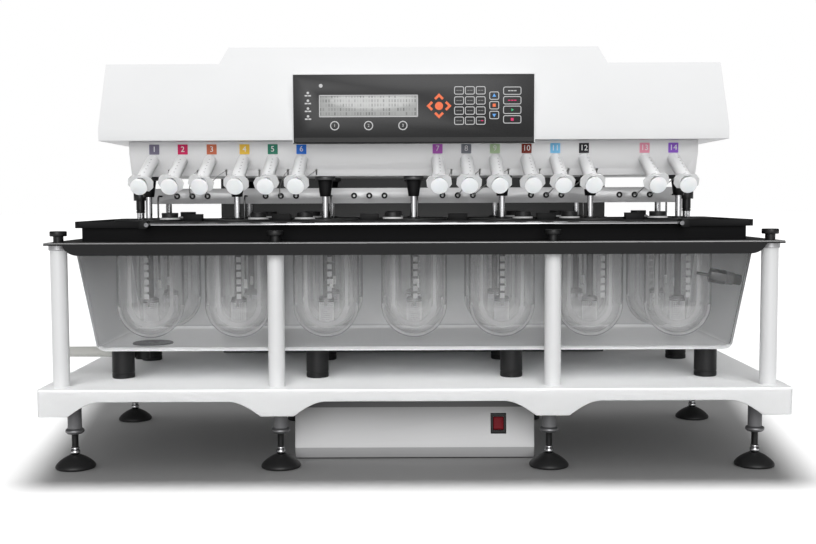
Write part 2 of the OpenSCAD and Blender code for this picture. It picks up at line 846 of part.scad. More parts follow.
// A seat, gasket and hexagon nut on the right-hand wall, square to its draft, with a thin probe
module bath_sensor() {
    rise = (sensor_h - bath_floor_r) / (rim_z - bath_z - bath_floor_r);
    wall_x = floor_half_x - bath_wall + bath_flare_x * rise;
    front_y = bath_y - floor_half_y - bath_flare_y * rise;
    y = front_y + bath_corner_r + sensor_nut_d / 2 + seat_fit;
    seat_l = sensor_nut_l / 4;
    color([0.3, 0.3, 0.3]) translate([wall_x - seat_fit, y, bath_z + sensor_h])
        rotate([0, bath_draft - 90, 0]) {
        rod(0.75 * sensor_nut_d, 0, seat_l);
        rod(0.9 * sensor_nut_d, seat_l, 2 * seat_l);
        translate([0, 0, 2 * seat_l]) cylinder(d = sensor_nut_d, h = 2 * seat_l, $fn = 6);
        rod(sensor_probe_d, seat_l, sensor_nut_l + sensor_probe_l);
    }
}

module drain_pipe() {
    z = bath_z - drain_drop;
    x0 = platform_half_x - drain_end_gap;
    x1 = floor_half_x - bath_wall - drain_inset;
    color([0.85, 0.85, 0.82]) translate([-x1, bath_y - drain_y, 0]) difference() {
        union() {
            rod(drain_elbow_d, z - drain_elbow_d / 2, bath_z);
            translate([0, 0, z]) rotate([0, -90, 0])
                cylinder(d = drain_d + 2 * drain_socket_wall, h = drain_elbow_d / 2 + drain_socket_l);
            translate([0, 0, z]) rotate([0, -90, 0]) cylinder(d = drain_d, h = x0 - x1);
        }
        rod(drain_bore_d, z, bath_z + cut);
        translate([0, 0, z]) rotate([0, -90, 0]) cylinder(d = drain_bore_d, h = x0 - x1 + cut);
    }
}

// Outline of the front lip: its ends are quarter ellipses
module lip_outline() {
    top_x = rim_half_x - rim_lip_inset;
    low_x = top_x - rim_lip_round;
    steps = 10;
    ends = [
        for (s = [0 : steps])
            [low_x + rim_lip_round * cos(90 * s / steps), tray_z - rim_lip_h * sin(90 * s / steps)]
    ];
    polygon(concat(ends, [for (s = [steps : -1 : 0]) [-ends[s][0], ends[s][1]]]));
}

module rim_plate() {
    rear_y = bath_y + bath_half_y + rim_rear_margin;
    color([0.12, 0.12, 0.12]) difference() {
        union() {
            translate([-rim_half_x, -platform_half_y, rim_z])
                cube([2 * rim_half_x, platform_half_y + rear_y, rim_t]);
            forward(-platform_half_y + rim_lip_t, rim_lip_t) lip_outline();
        }
        translate([0, bath_y, rim_z - cut]) linear_extrude(rim_t + 2 * cut) square([
            2 * (tray_half_x - tray_wall - rim_ledge), 2 * (tray_half_y - tray_wall - rim_ledge)
        ], center = true);
        at_posts() rod(thumb_shank_d + 2 * seat_fit, rim_z - cut, tray_z + cut);
    }
}

// Clamp block between two vessels: its head holds down the flanges on both sides
module clamp_block() {
    gap = vessel_pitch - vessel_flange_d;
    head_w = gap + 2 * clamp_bite;
    stem_w = gap - 2 * seat_fit;
    translate([-stem_w / 2, -clamp_d / 2, deck_z - cut]) cube([stem_w, clamp_d, vessel_flange_t + 2 * cut]);
    translate([-head_w / 2, -clamp_d / 2, vessel_rim_z]) cube([head_w, clamp_d, clamp_h]);
}

module rail_bracket() {
    front_y = bath_y - tray_half_y - tray_overhang;
    reach = rail_reach + bracket_h / 2;
    translate([rail_half_x, front_y - reach, rail_z - bracket_h / 2])
        cube([bracket_w, reach + cut, bracket_h]);
}

module vessel_plate() {
    lip_z = deck_z + tray_lip_h;
    out_x = tray_half_x + tray_overhang;
    out_y = tray_half_y + tray_overhang;
    corner = tray_overhang;
    color([0.1, 0.1, 0.1]) difference() {
        union() {
            translate([0, bath_y, 0]) difference() {
                union() {
                    round_box(out_x, out_y, corner, flange_z, lip_z);
                    round_box(tray_half_x, tray_half_y, corner / 2, tray_z, flange_z + cut);
                }
                round_box(tray_half_x, tray_half_y, corner / 2, deck_z, lip_z + cut);
                round_box(
                    tray_half_x - tray_wall, tray_half_y - tray_wall, corner / 4, tray_z - cut, flange_z
                );
            }
            for (c = [0 : columns - 2]) {
                translate([column_place(c) + vessel_pitch / 2, front_row_y, 0]) clamp_block();
            }
            rail_bracket();
            mirror([1, 0, 0]) rail_bracket();
        }
        at_vessels() rod(vessel_d + 2 * vessel_fit, flange_z - cut, vessel_rim_z);
        translate([0, rail_y, rail_z]) rotate([0, 90, 0])
            cylinder(d = rail_d + 2 * seat_fit, h = 2 * rail_half_x + bracket_w, center = true);
    }
}

module front_rail() {
    color([0.8, 0.8, 0.8]) translate([0, rail_y, rail_z]) rotate([0, 90, 0])
        cylinder(d = rail_d, h = 2 * rail_half_x + bracket_w - 2 * seat_fit, center = true);
}

// Right half of a round-bottomed glass with its rim flange
module vessel_half(d, top) {
    translate([0, vessel_z + vessel_d / 2]) intersection() {
        circle(d = d);
        translate([0, -d]) square([d, d]);
    }
    translate([0, vessel_z + vessel_d / 2]) square([d / 2, top - vessel_z - vessel_d / 2]);
}

module glass_vessels() {
    color([0.85, 0.88, 0.88, 0.4]) at_vessels() rotate_extrude() difference() {
        union() {
            vessel_half(vessel_d, vessel_rim_z);
            translate([0, deck_z]) square([vessel_flange_d / 2, vessel_flange_t]);
        }
        vessel_half(vessel_d - 2 * vessel_wall, vessel_rim_z + cut);
    }
}

module tower_shell() {
    color([0.13, 0.13, 0.13]) translate([-tower_w / 2, tower_y, platform_z]) difference() {
        cube([tower_w, tower_d, tower_h]);
        translate([tower_wall, tower_wall, -cut])
            cube([tower_w - 2 * tower_wall, tower_d - 2 * tower_wall, tower_h + 2 * cut]);
    }
}

module guide_rods() {
    color([0.75, 0.75, 0.76]) for (side = [-1, 1]) {
        translate([side * rod_x, lift_y, 0]) {
            rod(rod_d, platform_z, tower_top - rod_end_gap);
            rod(rod_flange_d, platform_z, platform_z + rod_flange_h);
        }
    }
}

module lift_motor() {
    top = platform_z + lift_motor_h;
    color([0.2, 0.2, 0.21]) translate([0, lift_y, 0]) difference() {
        translate([-lift_motor_w / 2, -lift_motor_w / 2, platform_z])
            cube([lift_motor_w, lift_motor_w, lift_motor_h]);
        rod(screw_d + 2 * run_fit, top - screw_seat, top + cut);
    }
}

module lift_screw() {
    color([0.7, 0.7, 0.7]) translate([0, lift_y, 0])
        rod(screw_d, platform_z + lift_motor_h - screw_seat, tower_top - screw_end_gap);
}

// Side outline of the head, drawn to its outside or, with an inset, to its inside
module head_outline(inset) {
    front = head_front_y + inset;
    bend_z = lip_z + inset * (slope_h - slope_len) / slope_run;
    below = inset > 0 ? cut : 0;
    polygon([
        [front, chassis_z - below],
        [front, bend_z],
        [slope_y(body_top - inset, inset), body_top - inset],
        [platform_half_y - inset, body_top - inset],
        [platform_half_y - inset, chassis_z - below]
    ]);
}

// The raised middle carries on the line of the slope and its ends taper
module hump_form(inset) {
    low = body_top - head_wall - cut;
    high = hump_top - inset;
    half = hump_w / 2 - inset;
    intersection() {
        along_x(hump_w) polygon([
            [slope_y(low, inset), low],
            [slope_y(high, inset), high],
            [platform_half_y - inset, high],
            [platform_half_y - inset, low]
        ]);
        forward(platform_half_y, 2 * platform_half_y) polygon([
            [-half, low], [-half, body_top], [-half + hump_taper, hump_top],
            [half - hump_taper, hump_top], [half, body_top], [half, low]
        ]);
    }
}

// The console is a wedge on the slope, open at its front for the control panel
module console_form() {
    low = chassis_z - console_drop;
    high = low + console_h;
    sink = head_wall / 2;
    difference() {
        along_x(console_w) polygon([
            [console_y, low], [console_y, high], [slope_y(high, sink), high],
            [slope_y(lip_z, sink), lip_z], [head_front_y + sink, low]
        ]);
        along_x(console_w - 2 * console_wall) polygon([
            [console_y - cut, low + console_wall], [console_y - cut, high - console_wall],
            [slope_y(high - console_wall, 0), high - console_wall],
            [head_front_y, lip_z], [head_front_y, low + console_wall]
        ]);
    }
}

module head_cover() {
    color("white") {
        difference() {
            union() {
                along_x(2 * head_half_x) head_outline(0);
                hump_form(0);
            }
            along_x(2 * (head_half_x - head_wall)) head_outline(head_wall);
            hump_form(head_wall);
        }
        console_form();
    }
}

// Chassis plate under the head, with the lift carriage that runs inside the tower.
// The carriage's walls reach down as far as the lift needs, and its floor stays clear of the motor.
module head_frame() {
    half_x = tower_w / 2 - tower_wall - carriage_side_gap;
    half_y = tower_d / 2 - tower_wall - carriage_gap;
    in_x = half_x - carriage_wall;
    in_y = half_y - carriage_wall;
    low = min(carriage_z, carriage_floor_z);
    hollow_z = carriage_floor_z + nut_l / 2;
    front = head_front_y + head_wall + seat_fit;
    rear = platform_half_y - head_wall - seat_fit;
    plate_half_x = head_half_x - head_wall - seat_fit;
    color([0.55, 0.55, 0.56]) difference() {
        union() {
            translate([-plate_half_x, front, chassis_z]) cube([2 * plate_half_x, rear - front, chassis_t]);
            translate([0, lift_y, 0]) {
                difference() {
                    translate([-half_x, -half_y, low])
                        cube([2 * half_x, 2 * half_y, chassis_z + cut - low]);
                    translate([-in_x, -in_y, hollow_z])
                        cube([2 * in_x, 2 * in_y, chassis_z - hollow_z]);
                    translate([-in_x, -in_y, low - cut])
                        cube([2 * in_x, 2 * in_y, carriage_floor_z + cut - low]);
                }
                rod(nut_d, carriage_floor_z, carriage_floor_z + nut_l);
                for (side = [-1, 1]) {
                    translate([side * rod_x, 0, 0])
                        rod(bush_d, carriage_floor_z, carriage_floor_z + bush_l);
                }
            }
        }
        translate([0, lift_y, 0]) {
            rod(screw_d + 2 * run_fit, carriage_floor_z - cut, carriage_floor_z + nut_l + cut);
            for (side = [-1, 1]) {
                translate([side * rod_x, 0, 0])
                    rod(rod_d + 2 * run_fit, carriage_floor_z - cut, carriage_floor_z + bush_l + cut);
            }
        }
        at_vessels() rod(shaft_d + 2 * cut, chassis_z - cut, chassis_z + chassis_t + cut);
    }
}

// Side outline of the folded panel under the head
module panel_outline(inset) {
    over = inset > 0 ? cut : 0;
    low_y = strip_y + face_run;
    lean = inset * tan(face_tilt / 2);
    polygon([
        [strip_y + inset, chassis_z + over],
        [strip_y + inset, crease_z + lean],
        [low_y + inset / cos(face_tilt) - inset * tan(face_tilt), panel_z + inset],
        [panel_rear_y - inset, panel_z + inset],
        [panel_rear_y - inset, chassis_z + over]
    ]);
}

// A keyhole slot in the tilted face, open at the panel's lower edge
module keyhole() {
    hole_z = panel_z + slot_h;
    hole_y = strip_y + face_run - slot_h * tan(face_tilt);
    depth = 2 * panel_wall;
    translate([0, hole_y, hole_z]) rotate([90 + face_tilt, 0, 0]) translate([0, 0, -depth]) {
        cylinder(d = slot_hole_d, h = 2 * depth);
        translate([-slot_w / 2, -2 * slot_h, 0]) cube([slot_w, 2 * slot_h, 2 * depth]);
    }
}

module syringe_panel() {
    color([0.78, 0.78, 0.78]) difference() {
        along_x(2 * panel_half_x) panel_outline(0);
        along_x(2 * (panel_half_x - panel_wall)) panel_outline(panel_wall);
        for (s = syringes) {
            translate([s[0] + slot_x, 0, 0]) keyhole();
        }
        at_vessels() rod(shaft_d + 2 * cut, panel_z - cut, panel_z + panel_wall + cut);
    }
}

// Each shaft runs in a cone-shaped nose under the panel and in a ring on the chassis plate
module spindle_bearings() {
    flange_low = panel_z - nose_flange_t;
    top = chassis_z + chassis_t;
    color([0.12, 0.12, 0.12]) at_vessels() difference() {
        union() {
            rod(nose_flange_d, flange_low, panel_z);
            translate([0, 0, flange_low - nose_l]) cylinder(d1 = nose_tip_d, d2 = nose_top_d, h = nose_l);
            rod(upper_bearing_d, top, top + upper_bearing_h);
        }
        rod(shaft_d + 2 * run_fit, flange_low - nose_l - cut, top + upper_bearing_h + cut);
    }
}

module control_panel() {
    half = console_w / 2 - console_wall - seat_fit;
    low = chassis_z - console_drop + console_wall + seat_fit;
    height = console_h - 2 * (console_wall + seat_fit);
    color([0.12, 0.12, 0.12]) difference() {
        translate([-half, console_y, low]) cube([2 * half, control_t, height]);
        translate([-display_x, console_y - cut, chassis_z - console_drop + display_up])
            translate([-display_w / 2 - seat_fit, 0, -display_h / 2 - seat_fit])
                cube([display_w + 2 * seat_fit, control_t + 2 * cut, display_h + 2 * seat_fit]);
    }
}

module display_screen() {
    color([0.6, 0.62, 0.6]) translate([
        -display_x - display_w / 2, console_y + control_t - display_t,
        chassis_z - console_drop + display_up - display_h / 2
    ]) cube([display_w, display_t, display_h]);
}

// Six-sided finger flange
module wing_outline() {
    shoulder = wing_w / 4;
    polygon([
        [-wing_w / 2, 0], [-shoulder, wing_h / 2], [shoulder, wing_h / 2],
        [wing_w / 2, 0], [shoulder, -wing_h / 2], [-shoulder, -wing_h / 2]
    ]);
}

module syringe_barrels() {
    end_wall = 2 * barrel_wall;
    color([0.9, 0.9, 0.9, 0.6]) for (i = [0 : vessels - 1]) {
        at_syringe(i) difference() {
            union() {
                cylinder(d = nozzle_d, h = nozzle_l + cut);
                rod(barrel_d, nozzle_l, barrel_end);
                translate([0, 0, barrel_end - wing_t]) linear_extrude(wing_t) wing_outline();
            }
            rod(barrel_bore_d, nozzle_l + end_wall, barrel_end + cut);
        }
    }
}

// Seal, crossed ribs and thumb disc, drawn pushed right in
module plunger(i) {
    seal_z = nozzle_l + 2 * barrel_wall + seat_fit;
    rib_z = seal_z + seal_l / 2;
    disc_z = barrel_end + plunger_reach;
    color([0.92, 0.92, 0.92]) at_syringe(i) {
        rod(barrel_bore_d - 2 * run_fit, seal_z, seal_z + seal_l);
        translate([-rib_w / 2, -rib_t / 2, rib_z]) cube([rib_w, rib_t, disc_z + thumb_disc_t / 2 - rib_z]);
        translate([-rib_t / 2, -rib_w / 2, rib_z]) cube([rib_t, rib_w, disc_z + thumb_disc_t / 2 - rib_z]);
        rod(thumb_disc_d, disc_z, disc_z + thumb_disc_t);
    }
}

// Motor on a plate with four legs, over the shaft that it drives
module drive_motor() {
    leg_d = 8;
    leg_x = motor_d / 2 + leg_d;
    leg_y = pulley_d / 4;
    color([0.25, 0.25, 0.26]) translate([column_place(driven - 1), front_row_y, 0]) difference() {
        union() {
            rod(motor_d, motor_z, motor_z + motor_h);
            translate([-leg_x - leg_d / 2, -leg_y - leg_d / 2, motor_plate_z])
                cube([2 * leg_x + leg_d, 2 * leg_y + leg_d, motor_plate_t]);
            for (x = [-leg_x, leg_x]) {
                for (y = [-leg_y, leg_y]) {
                    translate([x, y, 0]) rod(leg_d, chassis_z + chassis_t, motor_z);
                }
            }
        }
        rod(shaft_d + 2 * run_fit, motor_plate_z - cut, motor_z + motor_seat);
    }
}

// The belt runs round all the pulleys in one loop
module drive_belt() {
    inner = pulley_d / 2 + seat_fit;
    half_y = row_pitch / 2;
    color([0.08, 0.08, 0.08]) translate([0, bath_y, pulley_z + (pulley_h - belt_h) / 2])
        linear_extrude(belt_h) difference() {
            round_rect(shaft_half_x + inner + belt_t, half_y + inner + belt_t, inner + belt_t);
            round_rect(shaft_half_x + inner, half_y + inner, inner);
        }
}

// Shaft with its basket, the hub on top of it, and its pulley
module spindle(i) {
    c = (i - 1) % columns;
    r = floor((i - 1) / columns);
    basket_z = vessel_z + basket_gap;
    hub_z = basket_z + basket_h;
    plain_end = pulley_z + pulley_h + shaft_end;
    end = i == driven ? motor_z + motor_seat - seat_fit : plain_end;
    color([0.72, 0.72, 0.73]) translate([column_place(c), row_place(r), 0]) {
        rod(basket_d, basket_z, hub_z);
        rod(hub_d, hub_z - cut, hub_z + hub_h);
        rod(shaft_d, hub_z, end);
        rod(pulley_d, pulley_z, pulley_z + pulley_h);
    }
}

// Each cover hangs on its shaft by a collar, and has a stopper and a hole for a sampling tube
module vessel_covers() {
    for (c = [0 : columns - 1]) {
        for (r = [0 : rows - 1]) {
            towards_bar = r == 0 ? 1 : -1;
            translate([column_place(c), row_place(r), 0]) {
                color([0.1, 0.1, 0.1]) difference() {
                    union() {
                        rod(cover_d, vessel_rim_z, cover_z);
                        rod(cover_hub_d, vessel_rim_z, cover_z + cover_hub_h);
                    }
                    rod(shaft_d + 2 * run_fit, vessel_rim_z - cut, cover_z + cover_hub_h + cut);
                    translate([cannula_x, towards_bar * cannula_y, 0])
                        rod(cannula_hole_d, vessel_rim_z - cut, cover_z + cut);
                }
                color([0.9, 0.9, 0.9]) translate([stopper_side[c % stopper_count] * stopper_x, 0, 0]) {
                    rod(stopper_d, cover_z, cover_z + stopper_t);
                    rod(knob_d, cover_z + stopper_t - cut, cover_z + stopper_t + knob_h);
                }
            }
        }
    }
}

module guide_columns() {
    foot = deck_z + column_foot_gap;
    color([0.1, 0.1, 0.1]) for (side = [-1, 1]) {
        translate([side * column_x, bath_y, 0]) {
            rod(column_d, foot + collar_h, chassis_z);
            rod(collar_d, foot, foot + collar_h + cut);
        }
    }
}

module manifold_bar() {
    color([0.5, 0.5, 0.51]) difference() {
        union() {
            translate([-bar_half_x, bar_front_y, bar_top - bar_h]) cube([2 * bar_half_x, bar_t, bar_h]);
            for (side = [-1, 1]) {
                translate([side * column_x, bath_y, 0])
                    rod(column_d + 2 * eye_wall, bar_mid_z - eye_h / 2, bar_mid_z + eye_h / 2);
            }
            translate([-column_x, bath_y - eye_wall, bar_mid_z - eye_h / 2])
                cube([2 * column_x, 2 * eye_wall, eye_h]);
        }
        for (side = [-1, 1]) {
            translate([side * column_x, bath_y, 0]) rod(column_d + 2 * run_fit, bar_top - bar_h, bar_top);
        }
    }
    color([0.08, 0.08, 0.08]) for (g = [0 : grommet_groups - 1]) {
        for (k = [0 : grommets_in_group - 1]) {
            translate([grommet_place(g, k), bar_front_y, bar_mid_z]) rotate([90, 0, 0]) difference() {
                cylinder(d = grommet_d, h = grommet_t);
                translate([0, 0, -cut]) cylinder(d = grommet_bore_d, h = grommet_t + 2 * cut);
            }
        }
    }
}

// A bent tube: out of the bar's face, round a bend and straight down into its vessel
module cannula(reach) {
    tip_z = deck_z - cannula_depth;
    translate([0, 0, bar_mid_z]) {
        rotate([90, 0, 0]) cylinder(d = cannula_d, h = reach - cannula_bend_r);
        translate([0, cannula_bend_r - reach, -cannula_bend_r]) rotate([0, -90, 0])
            rotate([0, 0, -90]) rotate_extrude(angle = 90)
                translate([cannula_bend_r, 0]) circle(d = cannula_d);
        translate([0, -reach, tip_z - bar_mid_z])
            cylinder(d = cannula_d, h = bar_mid_z - cannula_bend_r - tip_z);
    }
}

module cannulas() {
    reach = row_pitch / 2 - cannula_y - bar_t / 2;
    color([0.7, 0.7, 0.7]) for (c = [0 : columns - 1]) {
        x = column_place(c) + cannula_x;
        translate([x, bar_front_y, 0]) cannula(reach);
        translate([x, bar_front_y + bar_t, 0]) mirror([0, 1, 0]) cannula(reach);
    }
}

// A point on a cubic curve, and the direction there
function curve_point(p, t) =
    pow(1 - t, 3) * p[0] + 3 * pow(1 - t, 2) * t * p[1] + 3 * (1 - t) * t * t * p[2] + pow(t, 3) * p[3];
function curve_direction(p, t) =
    let (d = pow(1 - t, 2) * (p[1] - p[0]) + 2 * (1 - t) * t * (p[2] - p[1]) + t * t * (p[3] - p[2]))
    d / norm(d);

// A round tube swept along a cubic curve
module curved_tube(p, d) {
    rings = 12;
    sides = 8;
    points = [
        for (k = [0 : rings])
            let (
                t = k / rings,
                ahead = curve_direction(p, t),
                flat = cross(ahead, [1, 0, 0]),
                across = flat / norm(flat),
                up = cross(across, ahead)
            )
            for (s = [0 : sides - 1])
                curve_point(p, t) + d / 2 * (cos(360 * s / sides) * across + sin(360 * s / sides) * up)
    ];
    walls = [
        for (k = [0 : rings - 1])
            for (s = [0 : sides - 1])
                let (a = k * sides + s, b = k * sides + (s + 1) % sides)
                each [[a, a + sides, b], [b, a + sides, b + sides]]
    ];
    start = [for (s = [1 : sides - 2]) [0, s, s + 1]];
    last = rings * sides;
    end = [for (s = [1 : sides - 2]) [last, last + s + 1, last + s]];
    polyhedron(points, concat(walls, start, end));
}

// Sample lines hang from the keyhole slots to the grommets on the bar
module sample_tubes() {
    y0 = strip_y + face_run - slot_h * tan(face_tilt);
    z0 = panel_z + slot_h;
    out = [0, -cos(face_tilt), -sin(face_tilt)];
    color([0.9, 0.9, 0.88]) for (s = syringes) {
        x0 = s[0] + slot_x;
        x1 = s[1];
        start = [x0, y0, z0];
        end = [x1, bar_front_y - grommet_t, bar_mid_z];
        sag = bar_drop;
        curved_tube([
            start,
            start + sag * out + [0.6 * (x1 - x0), 0, -sag / 2],
            end - [0, 1.4 * sag, 0],
            end
        ], line_d);
    }
}

base_platform();
levelling_feet();
power_box();
bath_spacers();
support_posts();
thumb_screws();
water_bath();
bath_sensor();
drain_pipe();
rim_plate();
vessel_plate();
glass_vessels();
front_rail();
tower_shell();
guide_rods();
lift_motor();
rocker_switch();
lift_screw();
head_cover();
head_frame();
syringe_panel();
spindle_bearings();
control_panel();
display_screen();
syringe_barrels();
drive_motor();
drive_belt();
vessel_covers();
guide_columns();
sample_tubes();
manifold_bar();
cannulas();
for (i = [1 : vessels]) {
    spindle(i);
    plunger(i - 1);
}
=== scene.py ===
"""Looks of a bench dissolution tester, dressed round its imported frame. Metres, the front towards -Y."""
import math

import bmesh
import bpy
from mathutils import Matrix, Vector


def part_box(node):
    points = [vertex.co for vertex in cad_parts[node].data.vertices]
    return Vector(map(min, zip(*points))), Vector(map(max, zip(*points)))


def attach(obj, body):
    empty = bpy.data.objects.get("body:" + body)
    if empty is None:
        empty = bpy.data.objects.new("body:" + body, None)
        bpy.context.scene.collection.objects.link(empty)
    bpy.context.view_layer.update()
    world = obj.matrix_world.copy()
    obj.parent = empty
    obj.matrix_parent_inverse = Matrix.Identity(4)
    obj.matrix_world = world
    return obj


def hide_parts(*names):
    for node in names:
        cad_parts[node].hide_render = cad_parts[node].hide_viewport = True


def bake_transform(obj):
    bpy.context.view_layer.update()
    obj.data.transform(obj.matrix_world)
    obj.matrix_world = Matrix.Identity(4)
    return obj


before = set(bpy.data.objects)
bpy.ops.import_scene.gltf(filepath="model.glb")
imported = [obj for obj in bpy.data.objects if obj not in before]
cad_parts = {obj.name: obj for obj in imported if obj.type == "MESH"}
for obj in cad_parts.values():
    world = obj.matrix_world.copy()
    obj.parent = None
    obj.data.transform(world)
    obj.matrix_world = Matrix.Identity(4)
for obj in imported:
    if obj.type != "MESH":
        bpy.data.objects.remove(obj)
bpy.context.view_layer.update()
scene = bpy.context.scene

# Camera
# A 49 mm lens on a full frame, 1.6 m in front of the bench's edge and level with the vessel
# rims. It is tipped slightly down and leans a fifth of a degree to the left.
camera_place = Vector((-0.0095, -1.855, 0.405))
camera_tip = math.radians(90 - 3.73)
camera_lean = math.radians(-0.22)
camera_data = bpy.data.cameras.new("camera")
camera_data.lens = 48.7
camera_data.sensor_width = 36
camera = bpy.data.objects.new("camera", camera_data)
camera.matrix_world = (
    Matrix.Translation(camera_place)
    @ Matrix.Rotation(camera_tip, 4, "X")
    @ Matrix.Rotation(camera_lean, 4, "Z")
)
scene.collection.objects.link(camera)
scene.camera = camera

# Studio
# A white sweep and a fill from the front; the lamps overhead come last. The sweep has a lamp of its
# own. Flags out of sight keep lamps off the floor under the bench and off the platform's skirt.
# Bright metal sees a white room in front of it and a dim one behind.
sky_ambient = 0.3
glossy_front, glossy_behind = 1.0, 0.12
glossy_front_y, glossy_behind_y = -0.95, -0.4
floor_seen, floor_bounce, floor_half = 0.74, 0.3, 30
scene.view_settings.view_transform = "Standard"
scene.cycles.transparent_max_bounces = 24


def set_sockets(made, **values):
    """Sets a node's sockets by their names, with underscores for spaces."""
    for socket, value in values.items():
        made.inputs[socket.replace("_", " ")].default_value = value


def node(tree, kind, operation=None, **values):
    """A shader node with its operation and the values of its sockets."""
    made = tree.nodes.new("ShaderNode" + kind)
    if operation:
        made.operation = operation
    set_sockets(made, **values)
    return made


def wire(tree, *runs):
    """Links sockets. Each run is a node, its output, the next node and its input."""
    for source, output, target, socket in runs:
        tree.links.new(source.outputs[output], target.inputs[socket])


def as_mesh(bm, name="unit"):
    """A mesh of a finished bmesh."""
    mesh = bpy.data.meshes.new(name)
    bm.to_mesh(mesh)
    bm.free()
    return mesh


def placed(name, data):
    """An object with this data, in the scene."""
    made = bpy.data.objects.new(name, data)
    scene.collection.objects.link(made)
    return made


world = bpy.data.worlds.new("studio")
world.use_nodes = True
world.cycles.sampling_method = "NONE"
scene.world = world
sky = world.node_tree
background = sky.nodes["Background"]
set_sockets(background, Color=(1, 1, 1, 1))
ray = node(sky, "LightPath")
aim = node(sky, "TexCoord")
aim_split = node(sky, "SeparateXYZ")
room = node(
    sky, "MapRange",
    From_Min=glossy_front_y, From_Max=glossy_behind_y, To_Min=glossy_front, To_Max=glossy_behind,
)
indirect = node(sky, "MapRange", To_Min=sky_ambient)
direct = node(sky, "Math", "MAXIMUM")
strength = node(sky, "MapRange", To_Max=1.0)
wire(
    sky, (aim, "Generated", aim_split, "Vector"), (aim_split, "Y", room, "Value"),
    (room, "Result", indirect, "To Max"), (ray, "Is Glossy Ray", indirect, "Value"),
    (ray, "Is Camera Ray", direct, 0), (ray, "Is Transmission Ray", direct, 1),
    (direct, 0, strength, "Value"), (indirect, "Result", strength, "To Min"),
    (strength, "Result", background, "Strength"),
)


def lamp(name, lights, shaded_by, power, spread, tilt):
    """A broad, even lamp far away, tilted about X from straight down, for a set of objects. Degrees."""
    data = bpy.data.lights.new(name, "SUN")
    data.energy = power
    data.angle = math.radians(spread)
    lit = placed(name, data)
    lit.rotation_euler = (math.radians(tilt), 0, 0)
    lit.light_linking.receiver_collection = lights
    lit.light_linking.blocker_collection = shaded_by


def lamp_set(name, state, *things):
    """A set of objects that a lamp lights alone, or leaves out."""
    chosen = bpy.data.collections.new(name)
    for thing in things:
        chosen.objects.link(thing)
    for entry in chosen.collection_objects:
        entry.light_linking.link_state = state
    return chosen


floor_bm = bmesh.new()
bmesh.ops.create_grid(floor_bm, x_segments=1, y_segments=1, size=floor_half)
floor = placed("floor", as_mesh(floor_bm, "floor"))
floor_paint = bpy.data.materials.new("floor_paint")
floor_paint.use_nodes = True
floor_tree = floor_paint.node_tree
floor_shader = floor_tree.nodes["Principled BSDF"]
set_sockets(floor_shader, Roughness=0.8, Specular_IOR_Level=0)
floor_ray = node(floor_tree, "LightPath")
floor_tone = node(floor_tree, "MapRange", To_Min=floor_seen, To_Max=floor_bounce)
wire(
    floor_tree, (floor_ray, "Is Diffuse Ray", floor_tone, "Value"),
    (floor_tone, "Result", floor_shader, "Base Color"),
)
floor.data.materials.append(floor_paint)


def flag(name, z, corners):
    """A level sheet that nothing sees. It only keeps a lamp off what is under it."""
    bm = bmesh.new()
    bm.faces.new([bm.verts.new((x, y, z)) for x, y in corners])
    sheet = placed(name, as_mesh(bm, name))
    sheet.visible_camera = sheet.visible_diffuse = False
    sheet.visible_glossy = sheet.visible_transmission = False
    return sheet


floor_flag = flag(
    "floor_flag", 0.106, ((-0.564, -0.321), (0.568, -0.321), (0.685, 0.45), (-0.675, 0.45))
)
skirt_flag = flag(
    "skirt_flag", 0.1243, ((-0.62, -0.42), (0.62, -0.42), (0.62, -0.2405), (-0.62, -0.2405))
)
all_but_floor = lamp_set("all_but_floor", "EXCLUDE", floor)
floor_alone = lamp_set("floor_alone", "INCLUDE", floor)
no_flags = lamp_set("no_flags", "EXCLUDE", floor_flag, skirt_flag)
no_skirt_flag = lamp_set("no_skirt_flag", "EXCLUDE", skirt_flag)
lamp("front_fill", all_but_floor, no_flags, power=1.93, spread=40, tilt=72)
lamp("floor_lamp", floor_alone, no_skirt_flag, power=4.3, spread=50, tilt=0)

# Levelling feet
# Eight moulded rubber bells, each on a steel ball and a threaded stud that runs up into a sleeve
# welded under the platform. A flange nut locks the stud.
mm = 1000  # millimetres in a metre


